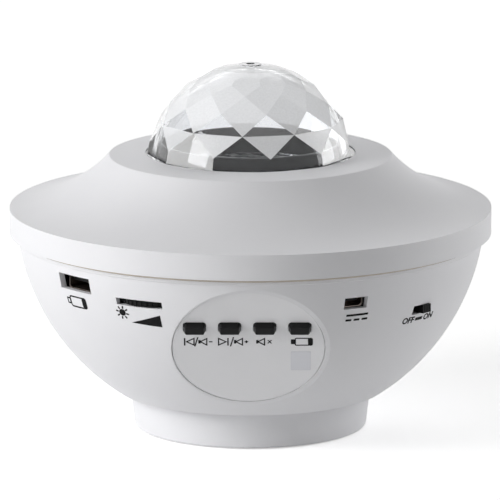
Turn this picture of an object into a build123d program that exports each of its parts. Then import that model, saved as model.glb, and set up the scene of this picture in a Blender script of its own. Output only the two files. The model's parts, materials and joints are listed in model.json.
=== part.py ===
"""Star night light projector: a saucer-shaped table projector with a faceted clear dome.

Millimetres, +Z up, origin at the middle of the surface it stands on. The control panel faces -Y.
Azimuths are counted from the front, in degrees, positive towards +X.
"""

import os
from math import acos, atan2, cos, hypot, pi, radians, sin, sqrt, tan

from build123d import *

# ---------------------------------------------------------------- driving dimensions
# Shell outline
wall = 2.2
rim_radius = 83.8
rim_top_z = 77.6
rim_edge_fillet = 3.2
skirt_fillet = 1.4
split_z = 68.3
split_gap = 0.5
plateau_z = 96.0
plateau_rise = 0.7
plateau_radius = 49.1
plateau_fillet = 0.7
slope_curve_radius = 54.0
rim_overhang = 2.7
bowl_bottom_radius = 46.8
bowl_bottom_z = 13.6
bowl_curve_radius = 77.9
bead_height = 2.0
bead_step = 0.35
lip_height = 3.0
lip_thickness = 1.1
fit_clearance = 0.2

# Snap hooks that hold the lid on the bowl
hook_count = 6
hook_width = 9.0
hook_thickness = 1.4
hook_drop = 5.6
hook_barb = 0.8
hook_gap = 0.4
catch_height = 1.3
catch_depth = 1.3

# Foot, its floor and the screws that hold it
foot_top_radius = 42.0
foot_bottom_radius = 40.4
foot_edge_fillet = 0.8
foot_lift = 0.4
foot_wall = 2.2
floor_rise = 2.0
floor_thickness = 2.2
bowl_floor = 2.4
base_opening_radius = 31.6
base_screw_circle = 36.2
tower_radius = 4.2
tower_cap = 2.6
boss_radius = 3.4
boss_height = 8.0
pad_radius = 4.4
pad_circle = 33.0
pad_chamfer = 0.4
grille_pitch = 4.6
grille_hole_radius = 1.25
grille_rings = 4

# Screws
screw_clearance = 0.15
small_screw_radius = 1.1
small_screw_head_radius = 2.1
small_screw_head = 1.2
small_screw_length = 4.6
base_screw_radius = 1.4
base_screw_head_radius = 2.6
base_screw_head = 1.8
base_screw_length = 10.0
screw_hole_rest = 1.0
cross_width = 0.5
cross_depth = 0.7
cross_reach = 0.65

# Dome
dome_radius = 36.3
dome_sink = 4.5
dome_wall = 3.0
dome_facets = 11
dome_turn = 11.4
dome_rings = (14.7, 27.3, 40.0, 52.3, 60.8)  # latitudes of the facets' corners
dome_corner_drop = 0.05  # the facets' corners lie this far under the sphere
valley_reach = 14.0
dome_cap_radius = 10.4
dome_crown_radius = 3.8
dome_crown_drop = 0.35
dome_flange_radius = 39.4
dome_flange_thickness = 1.8
dome_neck_drop = 0.3
beam_hole_radius = 1.5

# Retainer under the dome, with its light collar
collar_inner_radius = 29.8
collar_wall = 1.3
collar_height = 8.5
collar_edge_fillet = 0.4
retainer_thickness = 2.0
retainer_radius = 41.4
lug_circle = 43.6
lug_radius = 3.6
retainer_screw_count = 3

# Rotating ripple disc and its drive
gear_module = 1.0
gear_teeth = 60
pinion_teeth = 14
pressure_angle = 20.0
gear_thickness = 3.0
gear_backlash = 0.24
gear_inner_radius = 26.0
disc_gap = 0.8
ripple_thickness = 1.8
ripple_rise = 0.6
turning_gap = 0.5
running_clearance = 0.08
motor_azimuth = 180.0
motor_radius = 9.0
motor_length = 18.0
motor_edge_fillet = 1.1
motor_cap_radius = 3.2
motor_cap_height = 1.2
shaft_radius = 1.5
bracket_wall = 1.4
bracket_height = 8.0
bracket_ear_reach = 13.6
bracket_ear_radius = 3.0
bracket_ear_thickness = 2.0

# Lamp
chassis_thickness = 2.5
chassis_radius = 49.5
chassis_post_circle = 45.6
chassis_post_radius = 3.0
chassis_screw_count = 4
cup_top_radius = 24.2
cup_bottom_radius = 17.0
cup_wall = 1.2
cup_depth = 19.5
cup_flange = 1.8
led_board_radius = 22.0
board_thickness = 1.6
led_count = 4
led_circle_radius = 11.2
led_width = 3.6
led_height = 1.0
led_lens_radius = 3.8
sink_base = 1.6
sink_height = 5.6
sink_fins = 7
sink_fin_width = 1.2
barrel_radius = 4.6
barrel_wall = 1.3
barrel_rise = 1.4
shoulder_radius = 7.0
shoulder_height = 1.0
laser_length = 19.0
laser_aperture_depth = 4.8
grating_thickness = 0.8

# Main board
main_board_z = 55.7
main_board_margin = 2.0
board_notch_width = 52.0
board_notch_depth = 21.0
board_post_inset = 12.4
board_post_radius = 3.0
board_post_azimuths = (75.0, 140.0, 220.0, 285.0)
chip_spots = ((-8.0, 12.0, 9.0), (14.0, 4.0, 7.0), (-30.0, 20.0, 5.0), (33.0, 26.0, 5.0))
chip_height = 1.1
capacitor_spots = ((2.0, 46.0), (14.0, 46.0), (-42.0, 2.0))
capacitor_radius = 3.2
capacitor_height = 7.6
capacitor_edge_fillet = 0.5

# USB socket
usb_azimuth = -49.0
usb_z = 61.2
usb_hole_width = 15.9
usb_hole_height = 5.5
usb_shell_width = 13.2
usb_shell_height = 5.7
usb_shell_depth = 14.0
usb_recess = 3.5
usb_tongue_width = 11.1
usb_tongue_thickness = 1.84
usb_tongue_gap = 0.7
usb_contact_pitch = 2.3
usb_contact_width = 1.0
usb_contact_thickness = 0.15
usb_contact_length = 7.0

# DC socket
dc_azimuth = 26.9
dc_z = 58.3
dc_hole_width = 8.7
dc_hole_height = 4.1
dc_shell_width = 7.9
dc_shell_height = 3.6
dc_taper = 0.9
dc_shell_depth = 9.2
dc_recess = 3.0
dc_tongue_width = 5.0
dc_tongue_thickness = 0.9
dc_tongue_gap = 0.5

socket_sheet = 0.35
socket_tab_width = 1.6
tongue_recess = 1.2

# Power switch
switch_azimuth = 49.1
switch_z = 51.9
switch_hole_width = 8.2
switch_hole_height = 3.2
switch_travel = 3.6
switch_knob_width = 4.2
switch_knob_height = 2.8
switch_knob_proud = 1.2
switch_grooves = 3
switch_groove_pitch = 1.2
switch_groove_width = 0.4
switch_groove_depth = 0.25
switch_body_width = 13.0
switch_body_depth = 4.6
switch_body_wall = 0.6
switch_stem_width = 2.4
switch_stem_height = 1.4

# Dimmer
dimmer_azimuth = -28.8
dimmer_z = 57.8
dimmer_slot_width = 17.8
dimmer_slot_height = 2.5
dimmer_radius = 11.0
dimmer_thickness = 1.6
dimmer_proud = 0.4
dimmer_ridges = 36
dimmer_ridge_radius = 0.42
dimmer_hub_radius = 2.6
dimmer_base_width = 9.5
dimmer_cap_radius = 3.6
dimmer_cap_height = 0.6

# Control panel, which closes a flat cut in the bowl that faces outward and down
panel_tilt = 29.9
panel_depth = 4.6
panel_offset = -0.7
panel_width = 51.8
panel_height = 49.7
panel_thickness = 2.0
panel_inset = 0.2
panel_gap = 0.2
panel_ledge = 2.2
panel_seat_depth = 5.0
panel_seat_rim = 2.0
receiver_window = 8.0
receiver_window_depth = 1.2

# Keys and the board behind them
key_names = ("previous", "next", "mute", "mode")
key_pitch = 11.9
key_row_x = -0.4
key_row_y = 9.2
key_width = 7.5
key_height = 4.4
key_corner = 1.1
key_proud = 1.8
key_taper = 18.0
key_edge_fillet = 0.3
key_travel = 0.6
key_gap = 0.2
key_flange = 0.6
key_flange_thickness = 0.9
key_pocket_gap = 0.4
tact_size = 6.0
tact_height = 3.1
plunger_radius = 1.7
plunger_height = 0.9
plunger_depth = 0.3
key_board_width = 46.0
key_board_height = 25.0
key_board_y = 3.0
panel_post_x = 8.0
panel_post_y = -6.6
panel_post_radius = 2.0
receiver_x = 16.4
receiver_y = -5.5
receiver_width = 6.0
receiver_height = 6.6
receiver_thickness = 2.4
receiver_lens_radius = 1.9

# Speaker
speaker_radius = 26.0
speaker_flange_width = 2.0
speaker_flange_thickness = 1.2
locator_wall = 1.2
locator_height = 1.8
gasket_thickness = 1.0
basket_clearance = 0.4
basket_wall = 1.0
basket_windows = 4
basket_window_length = 15.0
basket_window_width = 5.0
basket_neck_radius = 13.0
surround_width = 3.0
surround_rise = 1.1
surround_thickness = 0.4
cone_thickness = 0.6
cone_angle = 33.0
cone_travel = 0.8
dust_cap_radius = 7.0
dust_cap_rise = 1.8
coil_radius = 6.2
coil_wall = 0.5
coil_gap = 0.4
magnet_radius = 16.0
magnet_bore_radius = 11.0
magnet_height = 8.0
magnet_plate = 2.0
magnet_plate_radius = 15.0

os.makedirs("parts", exist_ok=True)


# ---------------------------------------------------------------- helpers
def spot(azimuth, radius):
    """Point in plan at an azimuth and radius."""
    return (radius * sin(radians(azimuth)), -radius * cos(radians(azimuth)))


def outward(azimuth, radius, z):
    """Plane on the radius at an azimuth: x to the right seen from outside, y up, z outward."""
    x, y = spot(azimuth, 1)
    return Plane(origin=(radius * x, radius * y, z), x_dir=(-y, x, 0), z_dir=(x, y, 0))


def arc_centre(start, end, radius):
    """Centre of the arc of that radius from start to end, to the left of the way between them."""
    dx = end[0] - start[0]
    dy = end[1] - start[1]
    chord = hypot(dx, dy)
    reach = sqrt(radius**2 - chord**2 / 4) / chord
    return ((start[0] + end[0]) / 2 - dy * reach, (start[1] + end[1]) / 2 + dx * reach)


def arc_middle(centre, radius, start, end):
    """Point half-way along the short arc between two points of a circle."""
    dx = (start[0] + end[0]) / 2 - centre[0]
    dy = (start[1] + end[1]) / 2 - centre[1]
    reach = radius / hypot(dx, dy)
    return (centre[0] + dx * reach, centre[1] + dy * reach)


def finish(name, piece):
    """Labels a finished piece and writes it under its node's name."""
    piece.part.label = name
    export_step(piece.part, f"parts/{name}.step")


def screws(planes, shank, head, head_height, length):
    """Pan-head screws with a cross recess: the head's seat on each plane, the tip along its normal."""
    with BuildPart() as group:
        for plane in planes:
            with BuildSketch(plane):
                Circle(head)
            extrude(amount=-head_height)
            with BuildSketch(plane):
                Circle(shank)
            extrude(amount=length)
            with BuildSketch(plane.offset(-head_height)):
                Rectangle(2 * cross_reach * head, cross_width)
                Rectangle(cross_width, 2 * cross_reach * head)
            extrude(amount=cross_depth, mode=Mode.SUBTRACT)
    return group


# ---------------------------------------------------------------- worked-out places
rim_inner_radius = rim_radius - wall
lid_bottom_z = split_z + split_gap
ceiling_z = plateau_z - wall
plateau_peak_z = plateau_z + plateau_rise

slope_top = (plateau_radius, plateau_z)
slope_end = (rim_radius, rim_top_z)
slope_centre = arc_centre(slope_top, slope_end, slope_curve_radius)

bowl_top_radius = rim_radius - rim_overhang
bowl_top = (bowl_top_radius - bead_step, split_z - bead_height)
bowl_bottom = (bowl_bottom_radius, bowl_bottom_z)
bowl_centre = arc_centre(bowl_bottom, bowl_top, bowl_curve_radius)
bowl_floor_z = bowl_bottom_z + bowl_floor


def bowl_radius_at(z, depth=0.0):
    """Radius of the bowl's wall at a height, at a depth under its outer face."""
    return bowl_centre[0] + sqrt((bowl_curve_radius - depth) ** 2 - (z - bowl_centre[1]) ** 2)


def slope_z_at(radius, depth=0.0):
    """Height of the lid's slope at a radius, at a depth under its outer face."""
    return slope_centre[1] - sqrt((slope_curve_radius + depth) ** 2 - (slope_centre[0] - radius) ** 2)


def slope_radius_at(z, depth=0.0):
    """Radius of the lid's slope at a height, at a depth under its outer face."""
    return slope_centre[0] - sqrt((slope_curve_radius + depth) ** 2 - (slope_centre[1] - z) ** 2)


lip_inner_radius = bowl_radius_at(bowl_top[1], wall)
lip_outer_radius = lip_inner_radius + lip_thickness
lid_ledge_radius = lip_outer_radius + fit_clearance
lid_ledge_z = split_z + lip_height + fit_clearance

floor_top_z = floor_rise + floor_thickness
tower_seat_z = bowl_bottom_z - tower_cap
pad_azimuths = [0, 90, 180, 270]
base_screw_azimuths = [45, 135, 225, 315]

dome_centre_z = plateau_z - dome_sink
dome_neck_radius = sqrt(dome_radius**2 - (plateau_peak_z - dome_centre_z) ** 2)
dome_hole_radius = sqrt(dome_radius**2 - (dome_sink - wall) ** 2) + fit_clearance
flange_bottom_z = ceiling_z - dome_flange_thickness
retainer_bottom_z = flange_bottom_z - retainer_thickness
collar_outer_radius = collar_inner_radius + collar_wall
lug_azimuths = [360 / retainer_screw_count * i for i in range(retainer_screw_count)]

gear_distance = gear_module * (gear_teeth + pinion_teeth) / 2
pinion_spot = spot(motor_azimuth, gear_distance)
ripple_radius = collar_inner_radius - disc_gap
ripple_top_z = dome_centre_z + ripple_rise
ripple_bottom_z = ripple_top_z - ripple_thickness
gear_top_z = retainer_bottom_z - turning_gap
gear_bottom_z = gear_top_z - gear_thickness
chassis_top_z = gear_bottom_z - turning_gap
chassis_bottom_z = chassis_top_z - chassis_thickness
chassis_azimuths = [180 / chassis_screw_count * (2 * i + 1) for i in range(chassis_screw_count)]
cup_flange_radius = cup_top_radius + cup_flange
cup_bottom_z = chassis_top_z - cup_depth
led_board_bottom_z = cup_bottom_z - board_thickness
barrel_bore_radius = barrel_radius - barrel_wall
barrel_top_z = ripple_top_z + barrel_rise
motor_bottom_z = chassis_bottom_z - motor_length

main_board_bottom_z = main_board_z - board_thickness
main_board_radius = bowl_radius_at(main_board_bottom_z, wall) - main_board_margin
board_post_circle = main_board_radius - board_post_inset

panel_reach = bowl_curve_radius - panel_depth
panel_plane = Plane(
    origin=(
        panel_offset,
        -bowl_centre[0] - panel_reach * cos(radians(panel_tilt)),
        bowl_centre[1] - panel_reach * sin(radians(panel_tilt)),
    ),
    x_dir=(1, 0, 0),
    z_dir=(0, -cos(radians(panel_tilt)), -sin(radians(panel_tilt))),
)
panel_axis = Axis(panel_plane.origin, panel_plane.z_dir)
panel_back = -panel_inset - panel_thickness
key_back = panel_back - running_clearance - key_flange_thickness
tact_top = key_back - plunger_height
key_board_top = tact_top - tact_height
key_board_bottom = key_board_top - board_thickness
key_xs = [key_row_x + (i - (len(key_names) - 1) / 2) * key_pitch for i in range(len(key_names))]
key_row_length = key_xs[-1] - key_xs[0] + key_width + 2 * key_flange

gasket_top_z = floor_top_z + gasket_thickness
speaker_flange_top_z = gasket_top_z + speaker_flange_thickness
surround_radius = speaker_radius - speaker_flange_width
cone_radius = surround_radius - surround_width - running_clearance
cone_edge_z = gasket_top_z
cone_slope = tan(radians(cone_angle))
cone_neck_z = cone_edge_z + (cone_radius - dust_cap_radius) * cone_slope
coil_outer_radius = coil_radius + coil_wall
throat_radius = coil_outer_radius + running_clearance
throat_z = cone_edge_z + (cone_radius - throat_radius) * cone_slope
basket_neck_z = throat_z + cone_thickness + cone_travel + basket_clearance
basket_top_z = basket_neck_z + basket_wall
magnet_bottom_z = basket_top_z + magnet_plate
magnet_top_z = magnet_bottom_z + magnet_height


# ---------------------------------------------------------------- bowl
with BuildPart() as bowl_cavity:
    inner_start = (bowl_radius_at(bowl_floor_z, wall), bowl_floor_z)
    inner_end = (lip_inner_radius, bowl_top[1])
    with BuildSketch(Plane.XZ):
        with BuildLine():
            Line((0, bowl_floor_z), inner_start)
            ThreePointArc(
                inner_start,
                arc_middle(bowl_centre, bowl_curve_radius - wall, inner_start, inner_end),
                inner_end,
            )
            Polyline(inner_end, (lip_inner_radius, split_z), (0, split_z), (0, bowl_floor_z))
        make_face()
    revolve(axis=Axis.Z)
    # The seat of the control panel and the posts of the main board stay solid.
    with BuildSketch(panel_plane.offset(-panel_seat_depth)):
        Ellipse(panel_width / 2 + panel_seat_rim, panel_height / 2 + panel_seat_rim)
    extrude(amount=2 * panel_seat_depth, mode=Mode.SUBTRACT)
    with BuildSketch(Plane.XY.offset(main_board_bottom_z)):
        with Locations(*[spot(azimuth, board_post_circle) for azimuth in board_post_azimuths]):
            Circle(board_post_radius)
    extrude(amount=-main_board_bottom_z, mode=Mode.SUBTRACT)
    with BuildSketch(Plane.XY.offset(bowl_floor_z)):
        with Locations(*[spot(azimuth, base_screw_circle) for azimuth in base_screw_azimuths]):
            Circle(boss_radius)
    extrude(amount=boss_height, mode=Mode.SUBTRACT)

with BuildPart() as lower_bowl:
    with BuildSketch(Plane.XZ):
        with BuildLine():
            Line((0, bowl_bottom_z), bowl_bottom)
            ThreePointArc(
                bowl_bottom,
                arc_middle(bowl_centre, bowl_curve_radius, bowl_bottom, bowl_top),
                bowl_top,
            )
            Polyline(
                bowl_top,
                (bowl_top_radius, bowl_top[1] + bead_step),
                (bowl_top_radius, split_z),
                (0, split_z),
                (0, bowl_bottom_z),
            )
        make_face()
    revolve(axis=Axis.Z)
    # Lip that the lid slides over
    with BuildSketch(Plane.XY.offset(split_z)):
        Circle(lip_outer_radius)
    extrude(amount=lip_height)
    with BuildSketch(Plane.XY.offset(split_z)):
        Circle(lip_inner_radius)
    extrude(amount=lip_height, mode=Mode.SUBTRACT)
    # Flat cut for the control panel
    with BuildSketch(panel_plane):
        Rectangle(rim_radius, rim_radius)
    extrude(amount=rim_radius, mode=Mode.SUBTRACT)
    add(bowl_cavity.part, mode=Mode.SUBTRACT)
    # Catches for the snap hooks
    with BuildSketch(Plane.XY.offset(split_z - catch_height)):
        with PolarLocations(lip_inner_radius - catch_depth / 2, hook_count):
            Rectangle(catch_depth, hook_width)
    extrude(amount=catch_height)
    with BuildSketch(Plane.XY.offset(bowl_bottom_z)):
        Circle(base_opening_radius)
    extrude(amount=bowl_floor, mode=Mode.SUBTRACT)
    # Recess for the panel, and the window behind it
    with BuildSketch(panel_plane):
        Ellipse(panel_width / 2 + panel_gap, panel_height / 2 + panel_gap)
    extrude(amount=panel_back, mode=Mode.SUBTRACT)
    with BuildSketch(panel_plane):
        Ellipse(panel_width / 2 - panel_ledge, panel_height / 2 - panel_ledge)
    extrude(amount=-panel_seat_depth, mode=Mode.SUBTRACT)
    with BuildSketch(panel_plane.offset(panel_back)):
        with Locations((key_row_x, key_row_y)):
            Rectangle(key_row_length + 2 * key_pocket_gap, key_height + 2 * (key_flange + key_pocket_gap))
    extrude(amount=-panel_seat_depth - panel_back, mode=Mode.SUBTRACT)
    # Slots in the wall for the sockets, the switch and the dimmer
    for azimuth, z, width, height in (
        (usb_azimuth, usb_z, usb_hole_width, usb_hole_height),
        (dc_azimuth, dc_z, dc_hole_width, dc_hole_height),
        (switch_azimuth, switch_z, switch_hole_width, switch_hole_height),
        (dimmer_azimuth, dimmer_z, dimmer_slot_width, dimmer_slot_height),
    ):
        with BuildSketch(outward(azimuth, lip_inner_radius - 3 * wall, z)):
            Rectangle(width, height)
        extrude(amount=rim_radius - lip_inner_radius + 3 * wall, mode=Mode.SUBTRACT)
    # Screw holes in the posts and bosses
    with BuildSketch(Plane.XY.offset(main_board_bottom_z)):
        with Locations(*[spot(azimuth, board_post_circle) for azimuth in board_post_azimuths]):
            Circle(small_screw_radius + screw_clearance)
    extrude(amount=board_thickness - small_screw_length - screw_hole_rest, mode=Mode.SUBTRACT)
    with BuildSketch(Plane.XY.offset(bowl_bottom_z)):
        with Locations(*[spot(azimuth, base_screw_circle) for azimuth in base_screw_azimuths]):
            Circle(base_screw_radius + screw_clearance)
    extrude(amount=base_screw_length - tower_cap + screw_hole_rest, mode=Mode.SUBTRACT)
finish("lower_bowl", lower_bowl)


# ---------------------------------------------------------------- lid
with BuildPart() as lid_cavity:
    inner_top = (slope_radius_at(ceiling_z, wall), ceiling_z)
    inner_low = (rim_inner_radius, slope_z_at(rim_inner_radius, wall))
    with BuildSketch(Plane.XZ):
        with BuildLine():
            Line((0, ceiling_z), inner_top)
            ThreePointArc(
                inner_top,
                arc_middle(slope_centre, slope_curve_radius + wall, inner_top, inner_low),
                inner_low,
            )
            Polyline(
                inner_low,
                (rim_inner_radius, lid_ledge_z),
                (lid_ledge_radius, lid_ledge_z),
                (lid_ledge_radius, lid_bottom_z),
                (0, lid_bottom_z),
                (0, ceiling_z),
            )
        make_face()
    revolve(axis=Axis.Z)
    # Posts of the lamp chassis and bosses of the dome's retainer stay solid.
    with BuildSketch(Plane.XY.offset(chassis_top_z)):
        with Locations(*[spot(azimuth, chassis_post_circle) for azimuth in chassis_azimuths]):
            Circle(chassis_post_radius)
    extrude(amount=ceiling_z - chassis_top_z, mode=Mode.SUBTRACT)
    with BuildSketch(Plane.XY.offset(flange_bottom_z)):
        with Locations(*[spot(azimuth, lug_circle) for azimuth in lug_azimuths]):
            Circle(chassis_post_radius)
    extrude(amount=dome_flange_thickness, mode=Mode.SUBTRACT)

with BuildPart() as upper_lid:
    with BuildSketch(Plane.XZ):
        with BuildLine():
            Polyline((0, plateau_peak_z), (dome_hole_radius, plateau_peak_z), slope_top)
            ThreePointArc(
                slope_top,
                arc_middle(slope_centre, slope_curve_radius, slope_top, slope_end),
                slope_end,
            )
            Polyline(slope_end, (rim_radius, lid_bottom_z), (0, lid_bottom_z), (0, plateau_peak_z))
        outline = make_face()
        fillet(outline.vertices().sort_by_distance((*slope_top, 0))[0], plateau_fillet)
        fillet(outline.vertices().group_by(Axis.X)[-1].sort_by(Axis.Y)[-1], rim_edge_fillet)
        fillet(outline.vertices().group_by(Axis.X)[-1].sort_by(Axis.Y)[0], skirt_fillet)
    revolve(axis=Axis.Z)
    add(lid_cavity.part, mode=Mode.SUBTRACT)
    with BuildSketch(Plane.XY.offset(ceiling_z)):
        Circle(dome_hole_radius)
    extrude(amount=plateau_peak_z - ceiling_z, mode=Mode.SUBTRACT)
    # Snap hooks: a tongue inside the lip, and its barb under the bowl's catch
    hook_radius = lip_inner_radius - catch_depth - hook_gap - hook_thickness / 2
    with BuildSketch(Plane.XY.offset(lid_bottom_z - hook_drop)):
        with PolarLocations(hook_radius, hook_count):
            Rectangle(hook_thickness, hook_width - 2 * hook_gap)
    extrude(amount=slope_z_at(hook_radius, wall / 2) - lid_bottom_z + hook_drop)
    with BuildSketch(Plane.XY.offset(lid_bottom_z - hook_drop)):
        with PolarLocations(hook_radius + hook_barb, hook_count):
            Rectangle(hook_thickness, hook_width - 2 * hook_gap)
    extrude(amount=split_z - catch_height - fit_clearance - lid_bottom_z + hook_drop)
    with BuildSketch(Plane.XY.offset(chassis_top_z)):
        with Locations(*[spot(azimuth, chassis_post_circle) for azimuth in chassis_azimuths]):
            Circle(small_screw_radius + screw_clearance)
    extrude(amount=small_screw_length, mode=Mode.SUBTRACT)
    with BuildSketch(Plane.XY.offset(flange_bottom_z)):
        with Locations(*[spot(azimuth, lug_circle) for azimuth in lug_azimuths]):
            Circle(small_screw_radius + screw_clearance)
    extrude(amount=small_screw_length - retainer_thickness + fit_clearance, mode=Mode.SUBTRACT)
finish("upper_lid", upper_lid)


# ---------------------------------------------------------------- dome
def on_dome(turn, latitude):
    """Corner of the dome's facets, as reach in plan and height over its centre."""
    radius = dome_radius - dome_corner_drop
    return (radius * cos(radians(latitude)) * cos(radians(turn)), radius * sin(radians(latitude)))


def beyond(start, end):
    """Point half as far again from the start as the end is."""
    return (1.5 * end[0] - 0.5 * start[0], 1.5 * end[1] - 0.5 * start[1])


def facet_plane(azimuth, low, high):
    """Plane of one facet through its lower and upper corner, its normal pointing outwards."""
    tilt = atan2(low[0] - high[0], high[1] - low[1])
    x, y = spot(azimuth, cos(tilt))
    normal = Vector(x, y, sin(tilt))
    depth = low[0] * cos(tilt) + low[1] * sin(tilt)
    return Plane(origin=Vector(0, 0, dome_centre_z) + normal * depth, z_dir=normal)


# Facets alternate in azimuth from row to row. The first row's facets rise from pairs of corners on the
# first ring to one corner on the second. The others rise from one corner on a ring, past two on the next.
half_step = 180 / dome_facets
facet_rows = [(1, on_dome(half_step, dome_rings[0]), on_dome(0, dome_rings[1]))]
for count, (low_ring, high_ring) in enumerate(zip(dome_rings[1:], dome_rings[2:])):
    facet_rows.append((1 + count % 2, on_dome(0, low_ring), on_dome(half_step, high_ring)))

# Between the first two rows stand pairs of triangles that meet in a shallow valley.
valley = on_dome(half_step, dome_rings[1])
valley_foot = beyond(valley, on_dome(0, dome_rings[0]))
valley_head = beyond(valley, on_dome(0, dome_rings[2]))

dome_cap_z = dome_centre_z + sqrt(dome_radius**2 - dome_cap_radius**2)
dome_top_z = dome_centre_z + dome_radius

with BuildPart() as dome_cover:
    with BuildSketch(Plane.XZ):
        with BuildLine():
            neck = (dome_neck_radius, plateau_peak_z)
            cap_edge = (dome_cap_radius, dome_cap_z)
            Polyline((0, flange_bottom_z), (dome_radius, flange_bottom_z), neck)
            ThreePointArc(
                neck,
                arc_middle((0, dome_centre_z), dome_radius, neck, cap_edge),
                cap_edge,
            )
            Polyline(
                cap_edge,
                (dome_crown_radius, dome_top_z - dome_crown_drop),
                (0, dome_top_z - dome_crown_drop),
                (0, flange_bottom_z),
            )
        make_face()
    revolve(axis=Axis.Z)
    for offset, low, high in facet_rows:
        for step in range(dome_facets):
            azimuth = dome_turn + half_step * (2 * step + offset)
            split(bisect_by=facet_plane(azimuth, low, high), keep=Keep.BOTTOM)
    for step in range(dome_facets):
        azimuth = dome_turn + half_step * (2 * step + 2)
        x, y = spot(azimuth, 1)
        with BuildSketch(Plane(origin=(0, 0, dome_centre_z), x_dir=(x, y, 0), z_dir=(y, -x, 0))):
            with BuildLine():
                Polyline(
                    valley_foot,
                    (dome_radius + dome_wall, valley_foot[1]),
                    (dome_radius + dome_wall, valley_head[1]),
                    valley_head,
                    valley,
                    close=True,
                )
            make_face()
        extrude(amount=valley_reach, both=True, mode=Mode.SUBTRACT)
    with BuildSketch(Plane.XY.offset(dome_top_z)):
        Circle(dome_crown_radius)
    extrude(amount=-dome_crown_drop)
    with BuildSketch(Plane.XY.offset(flange_bottom_z)):
        Circle(dome_flange_radius)
    extrude(amount=dome_flange_thickness)
    # Round neck that fills the hole in the lid
    with BuildSketch(Plane.XY.offset(flange_bottom_z)):
        Circle(dome_hole_radius - fit_clearance)
    extrude(amount=plateau_peak_z - dome_neck_drop - flange_bottom_z)
    with BuildSketch(Plane.XZ):
        with BuildLine():
            inside = dome_radius - dome_wall
            inside_edge = (sqrt(inside**2 - (flange_bottom_z - dome_centre_z) ** 2), flange_bottom_z)
            Polyline((0, dome_centre_z + inside), (0, flange_bottom_z), inside_edge)
            ThreePointArc(
                inside_edge,
                arc_middle((0, dome_centre_z), inside, inside_edge, (0, dome_centre_z + inside)),
                (0, dome_centre_z + inside),
            )
        make_face()
    revolve(axis=Axis.Z, mode=Mode.SUBTRACT)
    with BuildSketch(Plane.XY.offset(dome_top_z)):
        Circle(beam_hole_radius)
    extrude(amount=-2 * dome_wall, mode=Mode.SUBTRACT)
finish("dome_cover", dome_cover)

with BuildPart() as dome_retainer:
    with BuildSketch(Plane.XY.offset(retainer_bottom_z)):
        Circle(retainer_radius)
        with Locations(*[spot(azimuth, lug_circle) for azimuth in lug_azimuths]):
            Circle(lug_radius)
        with Locations(*[spot(azimuth, lug_circle) for azimuth in lug_azimuths]):
            Circle(small_screw_radius + screw_clearance, mode=Mode.SUBTRACT)
        Circle(collar_inner_radius, mode=Mode.SUBTRACT)
    extrude(amount=retainer_thickness)
    with BuildSketch(Plane.XY.offset(flange_bottom_z)):
        Circle(collar_outer_radius)
        Circle(collar_inner_radius, mode=Mode.SUBTRACT)
    extrude(amount=collar_height)
    fillet(dome_retainer.edges().filter_by(GeomType.CIRCLE).group_by(Axis.Z)[-1], collar_edge_fillet)
finish("dome_retainer", dome_retainer)

retainer_screws = screws(
    [Plane((*spot(azimuth, lug_circle), retainer_bottom_z)) for azimuth in lug_azimuths],
    small_screw_radius,
    small_screw_head_radius,
    small_screw_head,
    small_screw_length - screw_hole_rest,
)
finish("retainer_screws", retainer_screws)


# ---------------------------------------------------------------- ripple disc and its drive
def gear_outline(teeth, backlash, turn):
    """Closed outline of an involute gear with a tooth centred on the given direction."""
    pitch_radius = gear_module * teeth / 2
    base_radius = pitch_radius * cos(radians(pressure_angle))
    root_radius = pitch_radius - 1.25 * gear_module
    tip_radius = pitch_radius + gear_module
    half_tooth = pi / (2 * teeth) - backlash / (2 * pitch_radius)
    flank_start = max(base_radius, root_radius)

    def involute(radius):
        angle = acos(min(1.0, base_radius / radius))
        return tan(angle) - angle

    flank_radii = [flank_start, (flank_start + pitch_radius) / 2, pitch_radius, tip_radius]
    flank = [(r, half_tooth + involute(pitch_radius) - involute(r)) for r in flank_radii]
    if root_radius < flank_start:
        flank.insert(0, (root_radius, flank[0][1]))
    points = []
    for tooth in range(teeth):
        centre = radians(turn) + 2 * pi * tooth / teeth
        points += [(r * cos(centre - a), r * sin(centre - a)) for r, a in flank]
        points += [(r * cos(centre + a), r * sin(centre + a)) for r, a in reversed(flank)]
    return Polyline(*points, close=True)


with BuildPart() as disc_gear:
    with BuildSketch(Plane.XY.offset(gear_bottom_z)):
        with BuildLine():
            gear_outline(gear_teeth, gear_backlash / 2, 90)
        make_face()
        Circle(gear_inner_radius, mode=Mode.SUBTRACT)
    extrude(amount=gear_thickness)
    # Neck that carries the ripple disc inside the light collar
    with BuildSketch(Plane.XY.offset(gear_top_z)):
        Circle(ripple_radius)
        Circle(gear_inner_radius, mode=Mode.SUBTRACT)
    extrude(amount=ripple_bottom_z - gear_top_z)
finish("disc_gear", disc_gear)

with BuildPart() as ripple_disc:
    with BuildSketch(Plane.XY.offset(ripple_bottom_z)):
        Circle(ripple_radius)
        Circle(barrel_radius + running_clearance, mode=Mode.SUBTRACT)
    extrude(amount=ripple_thickness)
finish("ripple_disc", ripple_disc)

with BuildPart() as drive_pinion:
    with BuildSketch(Plane((*pinion_spot, gear_bottom_z))):
        with BuildLine():
            gear_outline(pinion_teeth, gear_backlash / 2, 270 + 180 / pinion_teeth)
        make_face()
        Circle(shaft_radius, mode=Mode.SUBTRACT)
    extrude(amount=gear_thickness)
finish("drive_pinion", drive_pinion)

with BuildPart() as motor_shaft:
    with BuildSketch(Plane((*pinion_spot, chassis_bottom_z + running_clearance))):
        Circle(shaft_radius)
    extrude(amount=gear_top_z - chassis_bottom_z - running_clearance)
finish("motor_shaft", motor_shaft)

with BuildPart() as motor:
    with BuildSketch(Plane((*pinion_spot, motor_bottom_z))):
        Circle(motor_radius)
    extrude(amount=motor_length)
    fillet(motor.edges().group_by(Axis.Z)[0], motor_edge_fillet)
    with BuildSketch(Plane((*pinion_spot, motor_bottom_z))):
        Circle(motor_cap_radius)
    extrude(amount=-motor_cap_height)
finish("motor", motor)

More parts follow.
